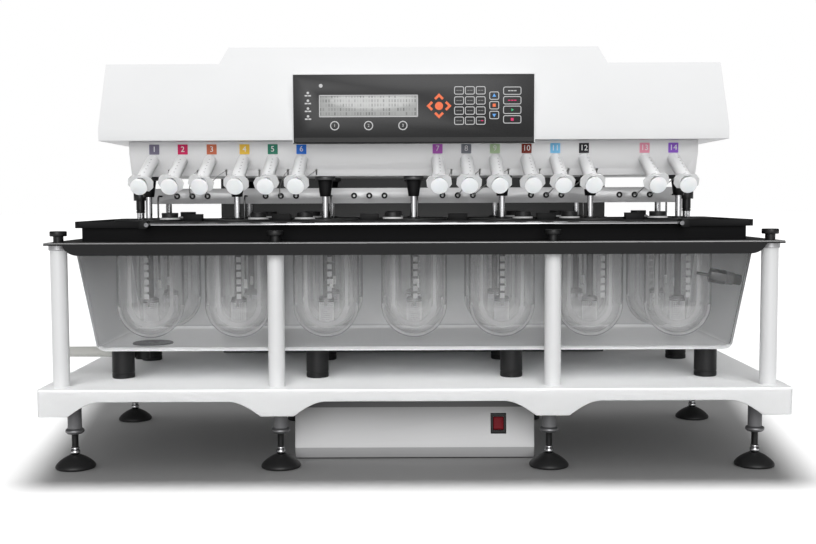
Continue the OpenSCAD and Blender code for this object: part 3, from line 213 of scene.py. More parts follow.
def make_coated_skin():
    """Shader group of a coated, moulded or drawn skin: faint mottle, and grain in gloss and relief."""
    group = bpy.data.node_groups.new("coated_skin", "ShaderNodeTree")
    number, colour, vector = "NodeSocketFloat", "NodeSocketColor", "NodeSocketVector"
    sockets = {
        "INPUT": (
            ("Colour", colour), ("Mottle", number), ("Stretch", vector), ("Grain", number),
            ("Gloss Low", number), ("Gloss High", number), ("Relief", number),
        ),
        "OUTPUT": (("Colour", colour), ("Roughness", number), ("Normal", vector)),
    }
    for side, rows in sockets.items():
        for name, kind in rows:
            group.interface.new_socket(name, in_out=side, socket_type=kind)
    given = group.nodes.new("NodeGroupInput")
    result = group.nodes.new("NodeGroupOutput")
    place = node(group, "TexCoord")
    stretched = node(group, "VectorMath", "MULTIPLY")
    grain = node(group, "TexNoise", Detail=3)
    mottle = node(group, "TexNoise", Scale=9, Detail=4)
    shade = node(group, "MapRange", From_Min=0.3, From_Max=0.7, To_Max=1)
    darkest = node(group, "Math", "SUBTRACT")
    darkest.inputs[0].default_value = 1
    tinted = node(group, "VectorMath", "SCALE")
    gloss = node(group, "MapRange", From_Min=0.3, From_Max=0.7)
    bump = node(group, "Bump", Distance=0.0002)
    wire(
        group, (place, "Object", stretched, 0), (given, "Stretch", stretched, 1),
        (stretched, 0, grain, "Vector"), (given, "Grain", grain, "Scale"),
        (place, "Object", mottle, "Vector"), (mottle, "Fac", shade, "Value"),
        (given, "Mottle", darkest, 1), (darkest, 0, shade, "To Min"), (given, "Colour", tinted, 0),
        (shade, "Result", tinted, "Scale"), (tinted, 0, result, "Colour"),
        (grain, "Fac", gloss, "Value"), (given, "Gloss Low", gloss, "To Min"),
        (given, "Gloss High", gloss, "To Max"), (gloss, "Result", result, "Roughness"),
        (grain, "Fac", bump, "Height"), (given, "Relief", bump, "Strength"),
        (bump, "Normal", result, "Normal"),
    )
    return group


coated_skin = make_coated_skin()


def coated(
    name, colour, gloss, grain=1500, relief=0.12, mottle=0.05, stretch=(1, 1, 1), specular=0.5, **fixed
):
    """A finish with a skin: gloss is its lowest and highest roughness, fixed sets more sockets."""
    finish = bpy.data.materials.new(name)
    finish.use_nodes = True
    tree = finish.node_tree
    shader = tree.nodes["Principled BSDF"]
    skin = tree.nodes.new("ShaderNodeGroup")
    skin.node_tree = coated_skin
    set_sockets(skin, Colour=(*colour, 1), Mottle=mottle, Stretch=stretch, Grain=grain, Relief=relief)
    set_sockets(skin, Gloss_Low=gloss[0], Gloss_High=gloss[1])
    set_sockets(shader, Specular_IOR_Level=specular, **fixed)
    wire(
        tree, (skin, "Colour", shader, "Base Color"), (skin, "Roughness", shader, "Roughness"),
        (skin, "Normal", shader, "Normal"),
    )
    return finish


def arc(r, z, rx, rz, start, end, steps):
    """Points of an elliptical arc on a turning profile, in millimetres and degrees."""
    turns = [math.radians(start + (end - start) * k / steps) for k in range(steps + 1)]
    return [(r + rx * math.cos(t), z + rz * math.sin(t)) for t in turns]


def turned(profile, steps=40, closed=False):
    """A mesh turned on a lathe: (radius, height) points in millimetres, spun about Z."""
    bm = bmesh.new()
    corners = [bm.verts.new((r / mm, 0, z / mm)) for r, z in profile]
    line = [bm.edges.new(pair) for pair in zip(corners, corners[1:])]
    if closed:
        line.append(bm.edges.new((corners[-1], corners[0])))
    bmesh.ops.spin(
        bm, geom=corners + line, axis=(0, 0, 1), cent=(0, 0, 0), steps=steps, angle=math.tau,
        use_merge=True,
    )
    bmesh.ops.remove_doubles(bm, verts=bm.verts, dist=1e-6)
    bmesh.ops.recalc_face_normals(bm, faces=bm.faces)
    return as_mesh(bm)


def at(x, y, z=0.0):
    return Matrix.Translation((x, y, z))


def stamp(bm, unit, place, finish=0):
    """Adds a copy of a unit to a piece, in its place, with one of the piece's finishes or its own."""
    first_vert = len(bm.verts)
    first_face = len(bm.faces)
    bm.from_mesh(unit)
    bm.verts.ensure_lookup_table()
    bm.faces.ensure_lookup_table()
    bmesh.ops.transform(bm, matrix=place, verts=bm.verts[first_vert:])
    for face in bm.faces[first_face:] if finish is not None else ():
        face.material_index = finish


def stamped(places, *units):
    """A bmesh with all the units at each place. The first unit has the first finish, and so on."""
    bm = bmesh.new()
    for place in places:
        for finish, unit in enumerate(units):
            stamp(bm, unit, at(*place), finish)
    return bm


def piece(name, bm, body, finishes, stands_for=(), crease=35):
    """Makes an object of a finished bmesh, smooth but for its creases, that rides on a body."""
    mesh = as_mesh(bm, name)
    for finish in finishes:
        mesh.materials.append(finish)
    mesh.shade_smooth()
    mesh.set_sharp_from_angle(angle=math.radians(crease))
    made = placed(name, mesh)
    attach(made, body)
    if stands_for:
        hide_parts(*stands_for)
    return made


def places_in(node_name, r, mid_x, z=0.0):
    """Two rows of four places in a part's box: the end ones touch its sides with their radius."""
    low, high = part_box(node_name)
    across = (low.x + r, -mid_x, mid_x, high.x - r)
    return [(x, y, z) for x in across for y in (low.y + r, high.y - r)]


pad_r, foot_mid_x = 0.030, 0.204
bright = {"Metallic": 1.0, "Specular_Tint": (0.02, 0.02, 0.02, 1)}
pad_rubber = coated(
    "pad_rubber", (0.017, 0.017, 0.0175), (0.34, 0.5), grain=700, relief=0.15, specular=0.3
)
ball_chrome = coated("ball_chrome", (0.6, 0.6, 0.61), (0.08, 0.16), **bright)
stud_steel = coated("stud_steel", (0.1, 0.1, 0.1), (0.3, 0.45), stretch=(1, 1, 12), Metallic=1.0)
nut_zinc = coated("nut_zinc", (0.19, 0.19, 0.195), (0.35, 0.5), grain=600, Metallic=0.8)
sleeve_paint = coated("sleeve_paint", (0.15, 0.15, 0.155), (0.4, 0.55), specular=0.3)
pad = turned(
    [(0, 0), (28, 0), (29.4, 0.8), (30, 2.4), (29.7, 4), (28.4, 6.2), (25.8, 9), (22, 12.2), (17, 15.6),
     (12.4, 18.1), (9.6, 19.3), (8.6, 20), (0, 20)], 48,
)
ball = turned(
    [(0, 19.5)] + arc(0, 24.6, 7.2, 5.6, -60, 50, 8) + arc(0, 30.4, 6.2, 3, -35, 60, 6) + [(0, 33.5)]
)
thread_r, thread_depth, thread_foot, thread_pitch, thread_lines = 5.2, 0.5, 32.6, 1.4, 31
thread = [
    (thread_r - thread_depth * (k % 2), thread_foot + k * thread_pitch / 2) for k in range(thread_lines)
]
stud = turned([(0, 32)] + thread + [(0, 54)], 28)
nut = turned([(5, 53), (11.5, 53)] + arc(11.5, 57, 2.75, 3.2, -80, 80, 8) + [(10.5, 61), (5, 61)])
sleeve = turned([(5, 60), (9.8, 60), (10.5, 60.8), (10.5, 124), (5, 124)])
feet = stamped(places_in("levelling_feet", pad_r, foot_mid_x), pad, ball, stud, nut, sleeve)
piece(
    "levelling_feet_dressed", feet, "base",
    [pad_rubber, ball_chrome, stud_steel, nut_zinc, sleeve_paint], ["levelling_feet"],
)

# Base platform
# One steel sheet folded down on four sides into a tray, with arches cut in its skirt, welded at
# the corners and powder coated white. The bends are left slightly round.


def cut(bm, place, along):
    bmesh.ops.bisect_plane(
        bm, geom=bm.verts[:] + bm.edges[:] + bm.faces[:], dist=1e-6, plane_co=place, plane_no=along
    )


def bevel(bm, geom, width, segments, affect="EDGES", clamp=False):
    """Rounds off edges or corners."""
    bmesh.ops.bevel(
        bm, geom=geom, offset=width, offset_type="OFFSET", segments=segments, profile=0.5,
        affect=affect, material=-1, clamp_overlap=clamp,
    )


def eased(node_name, width, segments=2, seams=(), only=None):
    """A copy of a part, its loose faces joined and its edges, or some, rounded. Seams in X part it."""
    bm = bmesh.new()
    bm.from_mesh(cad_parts[node_name].data)
    for seam_x in seams:
        cut(bm, (seam_x, 0, 0), (1, 0, 0))
    bmesh.ops.remove_doubles(bm, verts=bm.verts, dist=1e-5)
    bmesh.ops.dissolve_limit(bm, angle_limit=math.radians(0.5), verts=bm.verts, edges=bm.edges)
    bend = math.radians(30)
    sharp = [e for e in bm.edges if len(e.link_faces) == 2 and e.calc_face_angle(0) > bend]
    if only:
        sharp = [e for e in sharp if all(only(v.co) for v in e.verts)]
    bevel(bm, sharp, width, segments, clamp=True)
    for face in bm.faces:
        face.material_index = 0
    bm.normal_update()
    return bm


white_coat = coated(
    "white_coat", (0.83, 0.835, 0.84), (0.5, 0.62), grain=1100, relief=0.1, mottle=0.025, specular=0.25
)
platform_piece = piece(
    "base_platform_coated", eased("base_platform", 0.0024, 3), "base",
    [white_coat], ["base_platform"],
)

# Power box
# A folded sheet box under the platform with a leaning front and a chamfered lower edge, sprayed
# silver grey. A black bezel clips into its front and carries the rocker of the mains switch. The
# platform's shade is painted on its front: the silver darkens towards the top, with a dark strip
# along the top and a darker chamfer below.


def finish_where(bm, finish, test):
    """Gives a finish to the faces whose middle passes a test."""
    for face in bm.faces:
        if test(face.calc_center_median()):
            face.material_index = finish


def finish_facing(bm, finish, test):
    """Gives a finish to the faces whose normal passes a test."""
    for face in bm.faces:
        if test(face.normal):
            face.material_index = finish


def faded(finish, low, high, share):
    """Paints light or shade on a finish: takes it to a share of its tone between two heights."""
    tree = finish.node_tree
    shader = tree.nodes["Principled BSDF"]
    skin = shader.inputs["Base Color"].links[0].from_node
    place = node(tree, "TexCoord")
    split = node(tree, "SeparateXYZ")
    painted_ramp = node(tree, "MapRange", From_Min=low, From_Max=high, To_Min=1, To_Max=share)
    toned = node(tree, "VectorMath", "SCALE")
    wire(
        tree, (skin, "Colour", toned, 0), (place, "Object", split, "Vector"),
        (split, "Z", painted_ramp, "Value"), (painted_ramp, "Result", toned, "Scale"), (toned, 0, shader, "Base Color"),
    )


silver = {"gloss": (0.4, 0.55), "grain": 2600, "relief": 0.05, "specular": 0.2}
silver_coat = coated("silver_coat", (0.8, 0.8, 0.805), mottle=0.04, **silver)
# Painted shade: the silver darkens towards the top, under the platform's skirt.
faded(silver_coat, 0.024, 0.08, 0.52)
silver_painted_shade_top = coated("silver_painted_shade_top", (0.13, 0.13, 0.132), **silver)
silver_painted_shade_chamfer = coated("silver_painted_shade_chamfer", (0.46, 0.46, 0.465), **silver)
bezel_plastic = coated("bezel_plastic", (0.008, 0.008, 0.0085), (0.4, 0.55), grain=1800, specular=0.2)
rocker_plastic = coated(
    "rocker_plastic", (0.17, 0.006, 0.012), (0.4, 0.5), grain=800, relief=0.04, specular=0.08
)
box_crease = Vector((0, -0.150, 0.025))
box_front_top = Vector((0, -0.140, 0.124))
box_up = (box_front_top - box_crease).normalized()
box_out = Vector((1, 0, 0)).cross(box_up)
bezel_proud, box_shade_z, box_drop = 0.0004, 0.0815, 0.006
power_box = eased("power_box", 0.0010)
cut(power_box, (0, 0, box_shade_z), (0, 0, 1))
finish_where(power_box, 1, lambda p: (Vector((0, p.y, p.z)) - box_crease).dot(box_out) > bezel_proud)
# Painted shade: a dark strip above box_shade_z, and a darker chamfer where it faces the floor.
finish_where(power_box, 2, lambda p: p.z > box_shade_z)
finish_facing(power_box, 3, lambda n: n.z < -0.3 and n.y < -0.2)
for v in power_box.verts:
    if v.co.z < box_crease.z + bezel_proud:
        v.co.z -= box_drop
piece(
    "power_box_coated", power_box, "base",
    [silver_coat, bezel_plastic, silver_painted_shade_top, silver_painted_shade_chamfer], ["power_box"],
)
piece(
    "switch_rocker", eased("rocker_switch", 0.0006), "power_rocker",
    [rocker_plastic], ["rocker_switch"],
)

# Bath spacers and drain
# Black rubber pucks stand on the platform and carry the bath, whose floor hangs a little lower than
# in the frame. The pale drain pipe runs out to the left from a black elbow under that floor.
bath_drop = 0.0035
spacer_low, spacer_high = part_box("bath_spacers")
spacer_r, spacer_mid_x = 0.0175, 0.153
spacer_rubber = coated(
    "spacer_rubber", (0.014, 0.014, 0.0145), (0.4, 0.55), grain=900, relief=0.2, specular=0.2
)
spacer_h = (spacer_high.z - bath_drop - spacer_low.z) * mm
puck = turned(
    [(0, 0), (16.5, 0), (17.5, 1), (17.5, 7), (16.9, 7.6), (16.9, 9), (17.5, 9.6), (17.5, spacer_h - 1),
     (16.5, spacer_h), (0, spacer_h)]
)
spacers = stamped(places_in("bath_spacers", spacer_r, spacer_mid_x, spacer_low.z), puck)
spacer_piece = piece(
    "bath_spacers_moulded", spacers, "base", [spacer_rubber], ["bath_spacers"]
)

drain_plastic = coated("drain_plastic", (0.56, 0.56, 0.53), (0.3, 0.42), relief=0.05)
elbow_x = -0.4537
drain = eased("drain_pipe", 0.0008)
finish_where(drain, 1, lambda p: p.x > elbow_x)
drain_piece = piece(
    "drain_pipe_moulded", drain, "base", [drain_plastic, spacer_rubber], ["drain_pipe"]
)

# Water bath
# A vacuum-formed tub of smoky plastic with drafted walls and a rounded floor. Its front is clear,
# its other walls and its floor are hazy. The lower edge of its front is a painted highlight, a bright
# line, and its front right corner carries painted shade.
# A black rubber washer seals the drain in its floor.


def see_through(name, colour, gloss, clear, edge, **fixed):
    """A clear moulding: it covers what is behind by clear face on, and by edge where it turns away."""
    finish = coated(name, colour, gloss, grain=300, relief=0.02, mottle=0.03, **fixed)
    tree = finish.node_tree
    turning = node(tree, "LayerWeight", Blend=0.5)
    sharper = node(tree, "Math", "POWER")
    sharper.inputs[1].default_value = 3
    cover = node(tree, "MapRange", To_Min=clear, To_Max=edge)
    wire(
        tree, (turning, "Facing", sharper, 0), (sharper, 0, cover, "Value"),
        (cover, "Result", tree.nodes["Principled BSDF"], "Alpha"),
    )
    return finish


def unit_cube():
    bm = bmesh.new()
    bmesh.ops.create_cube(bm, size=1)
    return bm


smoke_wall = see_through("smoke_wall", (0.42, 0.425, 0.43), (0.05, 0.1), 0.1, 0.75)
# One smoky plastic in painted tones: the rear painted darker, the sides and floor paler.
smoke_rear_painted_shade = see_through("smoke_rear_painted_shade", (0.31, 0.314, 0.318), (0.3, 0.45), 0.9, 0.97)
smoke_side_painted_light = see_through("smoke_side_painted_light", (0.95, 0.955, 0.96), (0.3, 0.45), 0.9, 0.97)
smoke_floor_painted_light = see_through("smoke_floor_painted_light", (0.86, 0.865, 0.87), (0.3, 0.45), 0.75, 0.8)
# Painted highlight for the lower front edge, and painted shade for the front right corner.
smoke_painted_highlight = see_through("smoke_painted_highlight", (0.92, 0.925, 0.93), (0.2, 0.3), 1.0, 1.0)
smoke_painted_corner_shade = see_through("smoke_painted_corner_shade", (0.06, 0.06, 0.062), (0.1, 0.2), 0.75, 0.75)
bath_low, bath_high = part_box("water_bath")
bath_low = bath_low - Vector((0, 0, bath_drop))
bath_middle = (bath_low + bath_high) / 2
bath_size = bath_high - bath_low
bath_flare = Vector((0.026, 0.021, 0))
bath_floor_size = bath_size - 2 * bath_flare
bath_wall, bath_corner_r, bath_floor_r, bath_steps = 0.003, 0.016, 0.011, 6
bath = unit_cube()
bmesh.ops.scale(bath, vec=bath_floor_size, verts=bath.verts)
bmesh.ops.translate(bath, vec=bath_middle, verts=bath.verts)
bath_rim = [v for v in bath.verts if v.co.z > bath_middle.z]
flare_scale = (bath_size.x / bath_floor_size.x, bath_size.y / bath_floor_size.y, 1)
bmesh.ops.scale(bath, vec=flare_scale, space=Matrix.Translation(-bath_middle), verts=bath_rim)
bath_lid = [f for f in bath.faces if f.normal.z > 0.9]
bmesh.ops.delete(bath, geom=bath_lid, context="FACES_ONLY")
uprights = [e for e in bath.edges if abs(e.verts[0].co.z - e.verts[1].co.z) > bath_wall]
bevel(bath, uprights, bath_corner_r, bath_steps)
floor_edges = [e for e in bath.edges if all(abs(v.co.z - bath_low.z) < 1e-5 for v in e.verts)]
bevel(bath, floor_edges, bath_floor_r, bath_steps)
bmesh.ops.recalc_face_normals(bath, faces=bath.faces)
bath.normal_update()
clear_front, hazy_rear, hazy_side, hazy_floor, painted_highlight_edge, painted_shade_corner = range(6)


def bath_finish(normal):
    """Which finish a face of the tub has, by where it looks."""
    side, out, up = normal
    if up < -0.5:
        # Painted highlight on the lower front edge; painted shade on the front right corner below.
        return painted_highlight_edge if -0.985 < up < -0.7 and out < -0.12 else hazy_floor
    if side > 0.72 and out < -0.05 and up > -0.35:
        return painted_shade_corner
    if out < -0.3:
        return clear_front
    return hazy_rear if out > 0.5 else hazy_side


for face in bath.faces:
    face.material_index = bath_finish(face.normal)
bath_piece = piece(
    "water_bath_formed", bath, "base",
    [smoke_wall, smoke_rear_painted_shade, smoke_side_painted_light, smoke_floor_painted_light, smoke_painted_highlight, smoke_painted_corner_shade], ["water_bath"],
)
bath_shell = bath_piece.modifiers.new("wall", "SOLIDIFY")
bath_shell.thickness = bath_wall
bath_shell.offset = -1

washer_rubber = coated("washer_rubber", (0.03, 0.03, 0.031), (0.45, 0.6), grain=900, relief=0.2)
drain_low, drain_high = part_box("drain_pipe")
washer_x = -0.42
washer_place = (washer_x, (drain_low.y + drain_high.y) / 2, bath_low.z + bath_wall)
washer = turned([(8, 0), (32, 0), (32, 1.4), (31, 2.2), (11, 2.2), (8, 1.2)], 48, closed=True)
piece("drain_washer", stamped([washer_place], washer), "base", [washer_rubber])

sensor_steel = coated("sensor_steel", (0.03, 0.03, 0.031), (0.12, 0.2), grain=500, Metallic=0.8)
sensor_rubber = coated("sensor_rubber", (0.02, 0.02, 0.02), (0.5, 0.65))
sensor_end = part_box("bath_sensor")[1].x
seat_l = 0.012
sensor = eased("bath_sensor", 0.0006)
finish_where(sensor, 1, lambda p: seat_l < sensor_end - p.x < 2 * seat_l)
piece(
    "bath_sensor_fitted", sensor, "base", [sensor_steel, sensor_rubber], ["bath_sensor"]
)

# Support posts and thumb screws
# White coated tubes with a grey ferrule under the rim plate. A knurled black thumb screw goes
# down through the plate into each one.
post_low, post_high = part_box("support_posts")
ferrule_r, post_mid_x = 0.0145, 0.207
post_end_x = post_high.x - ferrule_r
post_front, post_rear = post_low.y + ferrule_r, post_high.y - ferrule_r
post_places = [(x, post_front) for x in (-post_end_x, -post_mid_x, post_mid_x, post_end_x)]
post_places += [(x, post_rear) for x in (-post_end_x, post_end_x)]
post_foot, post_head = post_low.z * mm, post_high.z * mm
ferrule_foot = post_head - 8
post_coat = coated("post_coat", (0.78, 0.785, 0.79), (0.3, 0.42), relief=0.06, mottle=0.03)
ferrule_grey = coated("ferrule_grey", (0.42, 0.42, 0.43), (0.35, 0.5), Metallic=0.6)
tube = turned([(0, post_foot), (12.5, post_foot), (12.5, ferrule_foot), (0, ferrule_foot)])
ferrule = turned(
    [(0, ferrule_foot), (13.7, ferrule_foot), (14.5, ferrule_foot + 1), (14.5, post_head),
     (0, post_head)]
)
post_piece = piece(
    "support_posts_coated", stamped(post_places, tube, ferrule), "base",
    [post_coat, ferrule_grey], ["support_posts"],
)


def knurled(r, z0, z1, depth, teeth):
    """A turned head with straight knurls: every second line of its rim is cut in. Millimetres."""
    edge = 0.8
    profile = [(0, z0), (r - edge, z0), (r, z0 + edge), (r, z1 - edge), (r - edge, z1), (0, z1)]
    bm = bmesh.new()
    bm.from_mesh(turned(profile, 2 * teeth))
    for v in bm.verts:
        spoke = math.atan2(v.co.y, v.co.x) / math.tau * 2 * teeth
        if v.co.xy.length > (r - edge / 2) / mm and round(spoke) % 2:
            v.co.xy = v.co.xy * (1 - depth / r)
    return as_mesh(bm)


thumb_plastic = coated("thumb_plastic", (0.01, 0.01, 0.0105), (0.35, 0.5), grain=900, specular=0.3)
thumb_low, thumb_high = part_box("thumb_screws")
thumb_foot, thumb_top = thumb_low.z * mm, thumb_high.z * mm
thumb_seat = 344
thumb_head = knurled(12.5, thumb_top - 7.5, thumb_top, 0.6, 30)
thumb_neck = turned(
    [(0, thumb_foot), (4, thumb_foot), (4, thumb_seat), (7.5, thumb_seat), (7.5, thumb_top - 7),
     (0, thumb_top - 7)]
)
thumbs = stamped(post_places, thumb_head)
for place in post_places:
    stamp(thumbs, thumb_neck, at(*place))
piece("thumb_screws_knurled", thumbs, "base", [thumb_plastic], ["thumb_screws"])

# Rim plate, vessel plate and front rail
# The rim plate is black coated sheet with a rounded front lip; a painted highlight lines the lip's
# top bend. The vessel plate is a black moulded tray on top of it, with clamp blocks screwed down
# between the vessels and a chrome rail in front.
black_coat = coated(
    "black_coat", (0.0095, 0.0095, 0.01), (0.42, 0.55), grain=1300, relief=0.14, specular=0.14
)
black_fold_painted_highlight = coated(
    "black_fold_painted_highlight", (0.17, 0.17, 0.171), (0.16, 0.24), grain=1300, relief=0.05, specular=0.9
)
tray_plastic = coated(
    "tray_plastic", (0.007, 0.007, 0.0075), (0.4, 0.55), grain=1000, relief=0.16, specular=0.12
)
rail_chrome = coated(
    "rail_chrome", (0.45, 0.45, 0.46), (0.06, 0.12), stretch=(0.05, 1, 1), relief=0.03, **bright
)
screw_steel = coated("screw_steel", (0.12, 0.12, 0.125), (0.25, 0.35), Metallic=1.0)
rim_low, rim_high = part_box("rim_plate")
lip_edge = 0.0001
rim_plate = eased(
    "rim_plate", 0.0018, 3, only=lambda p: p.y < rim_low.y + lip_edge and p.z > rim_high.z - lip_edge
)
# Painted highlight: the lip's top bend is a paler, glossier black.
finish_facing(rim_plate, 1, lambda n: n.y < -0.2 and 0.2 < n.z < 0.97)
piece("rim_plate_coated", rim_plate, "base", [black_coat, black_fold_painted_highlight], ["rim_plate"])
piece(
    "vessel_plate_moulded", eased("vessel_plate", 0.0008), "base",
    [tray_plastic], ["vessel_plate"],
)


def dress(node_name, finish):
    """Gives a part that keeps its own shape its finish."""
    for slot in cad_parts[node_name].material_slots:
        slot.material = finish


rail_low, rail_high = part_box("front_rail")
bracket_w, bracket_front, bracket_edge = 0.011, -0.196, 0.0002
rail_z = (rail_low.z + rail_high.z) / 2
rail = eased("front_rail", 0.0004)
finish_where(rail, 1, lambda p: abs(p.x) > rail_high.x - bracket_w - bracket_edge)
piece("front_rail_plated", rail, "base", [rail_chrome, thumb_plastic], ["front_rail"])
cap_screw = turned([(0, 0), (2.6, 0), (3.2, 0.5), (3.2, 2), (1.7, 2), (1.7, 0.9), (0, 0.9)], 24)
towards_front = Matrix.Rotation(math.pi / 2, 4, "X")
rail_screws = bmesh.new()
for end_x in (rail_low.x + bracket_w / 2, rail_high.x - bracket_w / 2):
    stamp(rail_screws, cap_screw, at(end_x, bracket_front, rail_z) @ towards_front)
piece("rail_end_screws", rail_screws, "base", [screw_steel])

# Glass vessels
# Round-bottomed one-litre vessels blown from clear glass, each with a ground rim flange that hangs
# on the deck. A white scale is fired on the outside of each one. The glass carries painted
# highlights and painted dark reflections in bands that follow its turn.


def blown_glass(name, painted_reflections):
    """Thin clear glass with painted reflections. Rows run from face on to edge on: turn away, tone, how
    far it covers.
    """
    finish = coated(name, (0.9, 0.9, 0.9), (0.02, 0.06), grain=60, relief=0.0, mottle=0.0)
    tree = finish.node_tree
    shader = tree.nodes["Principled BSDF"]
    turning = node(tree, "LayerWeight", Blend=0.5)
    for socket, column in (("Base Color", 1), ("Alpha", 2)):
        ramp = node(tree, "ValToRGB")
        steps = ramp.color_ramp.elements
        for row in painted_reflections[1:-1]:
            steps.new(row[0])
        for step, row in zip(steps, painted_reflections):
            step.color = (row[column], row[column], row[column], 1)
        wire(tree, (turning, "Facing", ramp, "Fac"), (ramp, "Color", shader, socket))
    return finish


def turn_z(degrees):
    return Matrix.Rotation(math.radians(degrees), 4, "Z")


# Pale bands in these rows are painted highlights, dark bands painted dark reflections.
wall_glass = blown_glass("wall_glass", (
    (0, 0.8, 0.05), (0.06, 0.6, 0.05), (0.1, 0.12, 0.18), (0.15, 0.5, 0.1), (0.19, 0.95, 0.34),
    (0.25, 0.95, 0.3), (0.33, 0.7, 0.08), (0.5, 0.5, 0.08), (0.56, 0.95, 0.25), (0.64, 0.95, 0.25),
    (0.72, 0.05, 0.6), (0.88, 0.05, 0.7), (1, 0.5, 0.4),
))
bowl_glass = blown_glass("bowl_glass", (
    (0, 0.95, 0.25), (0.14, 0.95, 0.25), (0.19, 0.95, 0.34), (0.25, 0.95, 0.32), (0.34, 0.95, 0.22),
    (0.5, 0.3, 0.14), (0.58, 0.98, 0.4), (0.74, 0.98, 0.65), (0.84, 0.15, 0.45), (1, 0.15, 0.6),
))
inner_glass = blown_glass(
    "inner_glass", ((0, 0.8, 0.02), (0.76, 0.5, 0.03), (0.86, 0.05, 0.35), (1, 0.05, 0.6))
)
vessel_low, vessel_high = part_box("glass_vessels")
vessel_foot, vessel_rim = vessel_low.z * mm, vessel_high.z * mm
vessel_r, glass_t, flange_r, flange_t = 52.5, 2.75, 59.0, 3.0
flange_foot = vessel_rim - flange_t
flange_edge, rim_edge = 0.8, 0.6
spindle_names = [f"spindle_{i:02d}" for i in range(1, 15)]
axes = {}
for name in spindle_names:
    low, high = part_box(name)
    axes[name] = ((low.x + high.x) / 2, (low.y + high.y) / 2)
bowl_z = vessel_foot + vessel_r
inner_r = vessel_r - glass_t
vessel = turned(
    arc(0, bowl_z, vessel_r, vessel_r, -90, 0, 16)
    + [(vessel_r, flange_foot), (flange_r - flange_edge, flange_foot),
       (flange_r, vessel_rim - flange_t / 2), (flange_r - flange_edge, vessel_rim),
       (inner_r + rim_edge, vessel_rim), (inner_r, vessel_rim - rim_edge)]
    + arc(0, bowl_z, inner_r, inner_r, 0, -90, 16),
    56,
)
for face in vessel.polygons:
    below = min(0, mm * face.center.z - bowl_z)
    reach = math.hypot(mm * face.center.xy.length, below)
    face.material_index = 2 if reach < vessel_r - glass_t / 2 else 1 if below < 0 else 0
vessels = bmesh.new()
for axis in axes.values():
    stamp(vessels, vessel, at(*axis), None)
piece(
    "glass_vessels_blown", vessels, "base",
    [wall_glass, bowl_glass, inner_glass], ["glass_vessels"],
)

scale_white = see_through("scale_white", (0.85, 0.85, 0.85), (0.45, 0.6), 0.36, 0.36)
scale_turns = (6.5, 9.5, 10, 2, -4, 13, 4, 160, 175, 190, 170, 185, 200, 178)
scale_foot, scale_pitch, scale_count = 0.257, 0.0114, 9
tick_size = Matrix.Diagonal((0.0072, 0.0005, 0.0078, 1))
tick_block = as_mesh(unit_cube())
scales = bmesh.new()
for axis, turn in zip(axes.values(), scale_turns):
    for k in range(scale_count):
        tick = at(0, -vessel_r / mm, scale_foot + k * scale_pitch)
        stamp(scales, tick_block, at(*axis) @ turn_z(turn) @ tick @ tick_size)
piece("vessel_scales", scales, "base", [scale_white])

# Lift tower
# A black coated sheet column behind the bath. Inside it two ground guide rods and a lift screw
# stand on the platform, and a square motor turns the screw.
tower_coat = coated(
    "tower_coat", (0.03, 0.03, 0.0305), (0.42, 0.55), grain=1300, relief=0.14, specular=0.3
)
ground_steel = coated(
    "ground_steel", (0.62, 0.62, 0.63), (0.12, 0.22), stretch=(1, 1, 0.05), relief=0.04, Metallic=1.0
)
screw_thread = coated(
    "screw_thread", (0.5, 0.5, 0.51), (0.2, 0.32),
    stretch=(0.2, 0.2, 1), grain=260, relief=0.9, Metallic=1.0,
)
motor_coat = coated(
    "motor_coat", (0.05, 0.05, 0.055), (0.4, 0.5), stretch=(0.3, 0.3, 3), grain=400, relief=0.4
)
tower_piece = piece(
    "tower_shell_coated", eased("tower_shell", 0.0012), "base",
    [tower_coat], ["tower_shell"],
)
dress("guide_rods", ground_steel)
dress("lift_screw", screw_thread)
dress("lift_motor", motor_coat)

# Head frame and drive
# An aluminium chassis plate carries the lift carriage, the spindle bearings and the drive motor.
# A toothed belt runs round all the pulleys under the cover.
frame_alloy = coated(
    "frame_alloy", (0.5, 0.5, 0.51), (0.32, 0.45),
    stretch=(0.04, 1, 1), grain=900, relief=0.12, Metallic=0.9,
)
belt_rubber = coated(
    "belt_rubber", (0.02, 0.02, 0.02), (0.5, 0.65), stretch=(1, 1, 0.1), grain=350, relief=0.6
)
dress("head_frame", frame_alloy)
dress("drive_motor", motor_coat)
dress("drive_belt", belt_rubber)

nose_black = coated("nose_black", (0.004, 0.004, 0.0045), (0.35, 0.5), grain=900, specular=0.15)
nose_grey = coated("nose_grey", (0.06, 0.06, 0.062), (0.3, 0.45), grain=700, Metallic=0.4)
panel_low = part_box("syringe_panel")[0]
nose_flange, nose_edge = 0.006, 0.0001
noses = eased("spindle_bearings", 0.0006)
finish_where(noses, 1, lambda p: panel_low.z - nose_flange < p.z < panel_low.z + nose_edge)
piece("bearing_noses", noses, "head", [nose_black, nose_grey], ["spindle_bearings"])

# Spindles
# A ground steel shaft with a pulley at the top. Below the vessel rims the steel is painted dark,
# a painted shade and dark reflection. At the bottom three spring clips hold a woven wire basket
# under a turned hub.
drawn = {"gloss": (0.1, 0.18), "stretch": (1, 1, 0.05), "relief": 0.03, **bright}
shaft_steel = coated("shaft_steel", (0.45, 0.45, 0.46), **drawn)
shaft_painted_shade = coated("shaft_painted_shade", (0.06, 0.06, 0.062), **drawn)
hub_steel = coated("hub_steel", (0.2, 0.2, 0.204), (0.14, 0.24), **bright)
wire_steel = coated("wire_steel", (0.75, 0.75, 0.76), (0.25, 0.4), Metallic=0.2)
pulley_alloy = coated("pulley_alloy", (0.5, 0.5, 0.51), (0.3, 0.45), Metallic=0.9)
spindle_finishes = [shaft_steel, hub_steel, wire_steel, pulley_alloy, shaft_painted_shade]
basket_r, basket_h, basket_foot = 0.0115, 0.037, 0.209
basket_top = basket_foot + basket_h
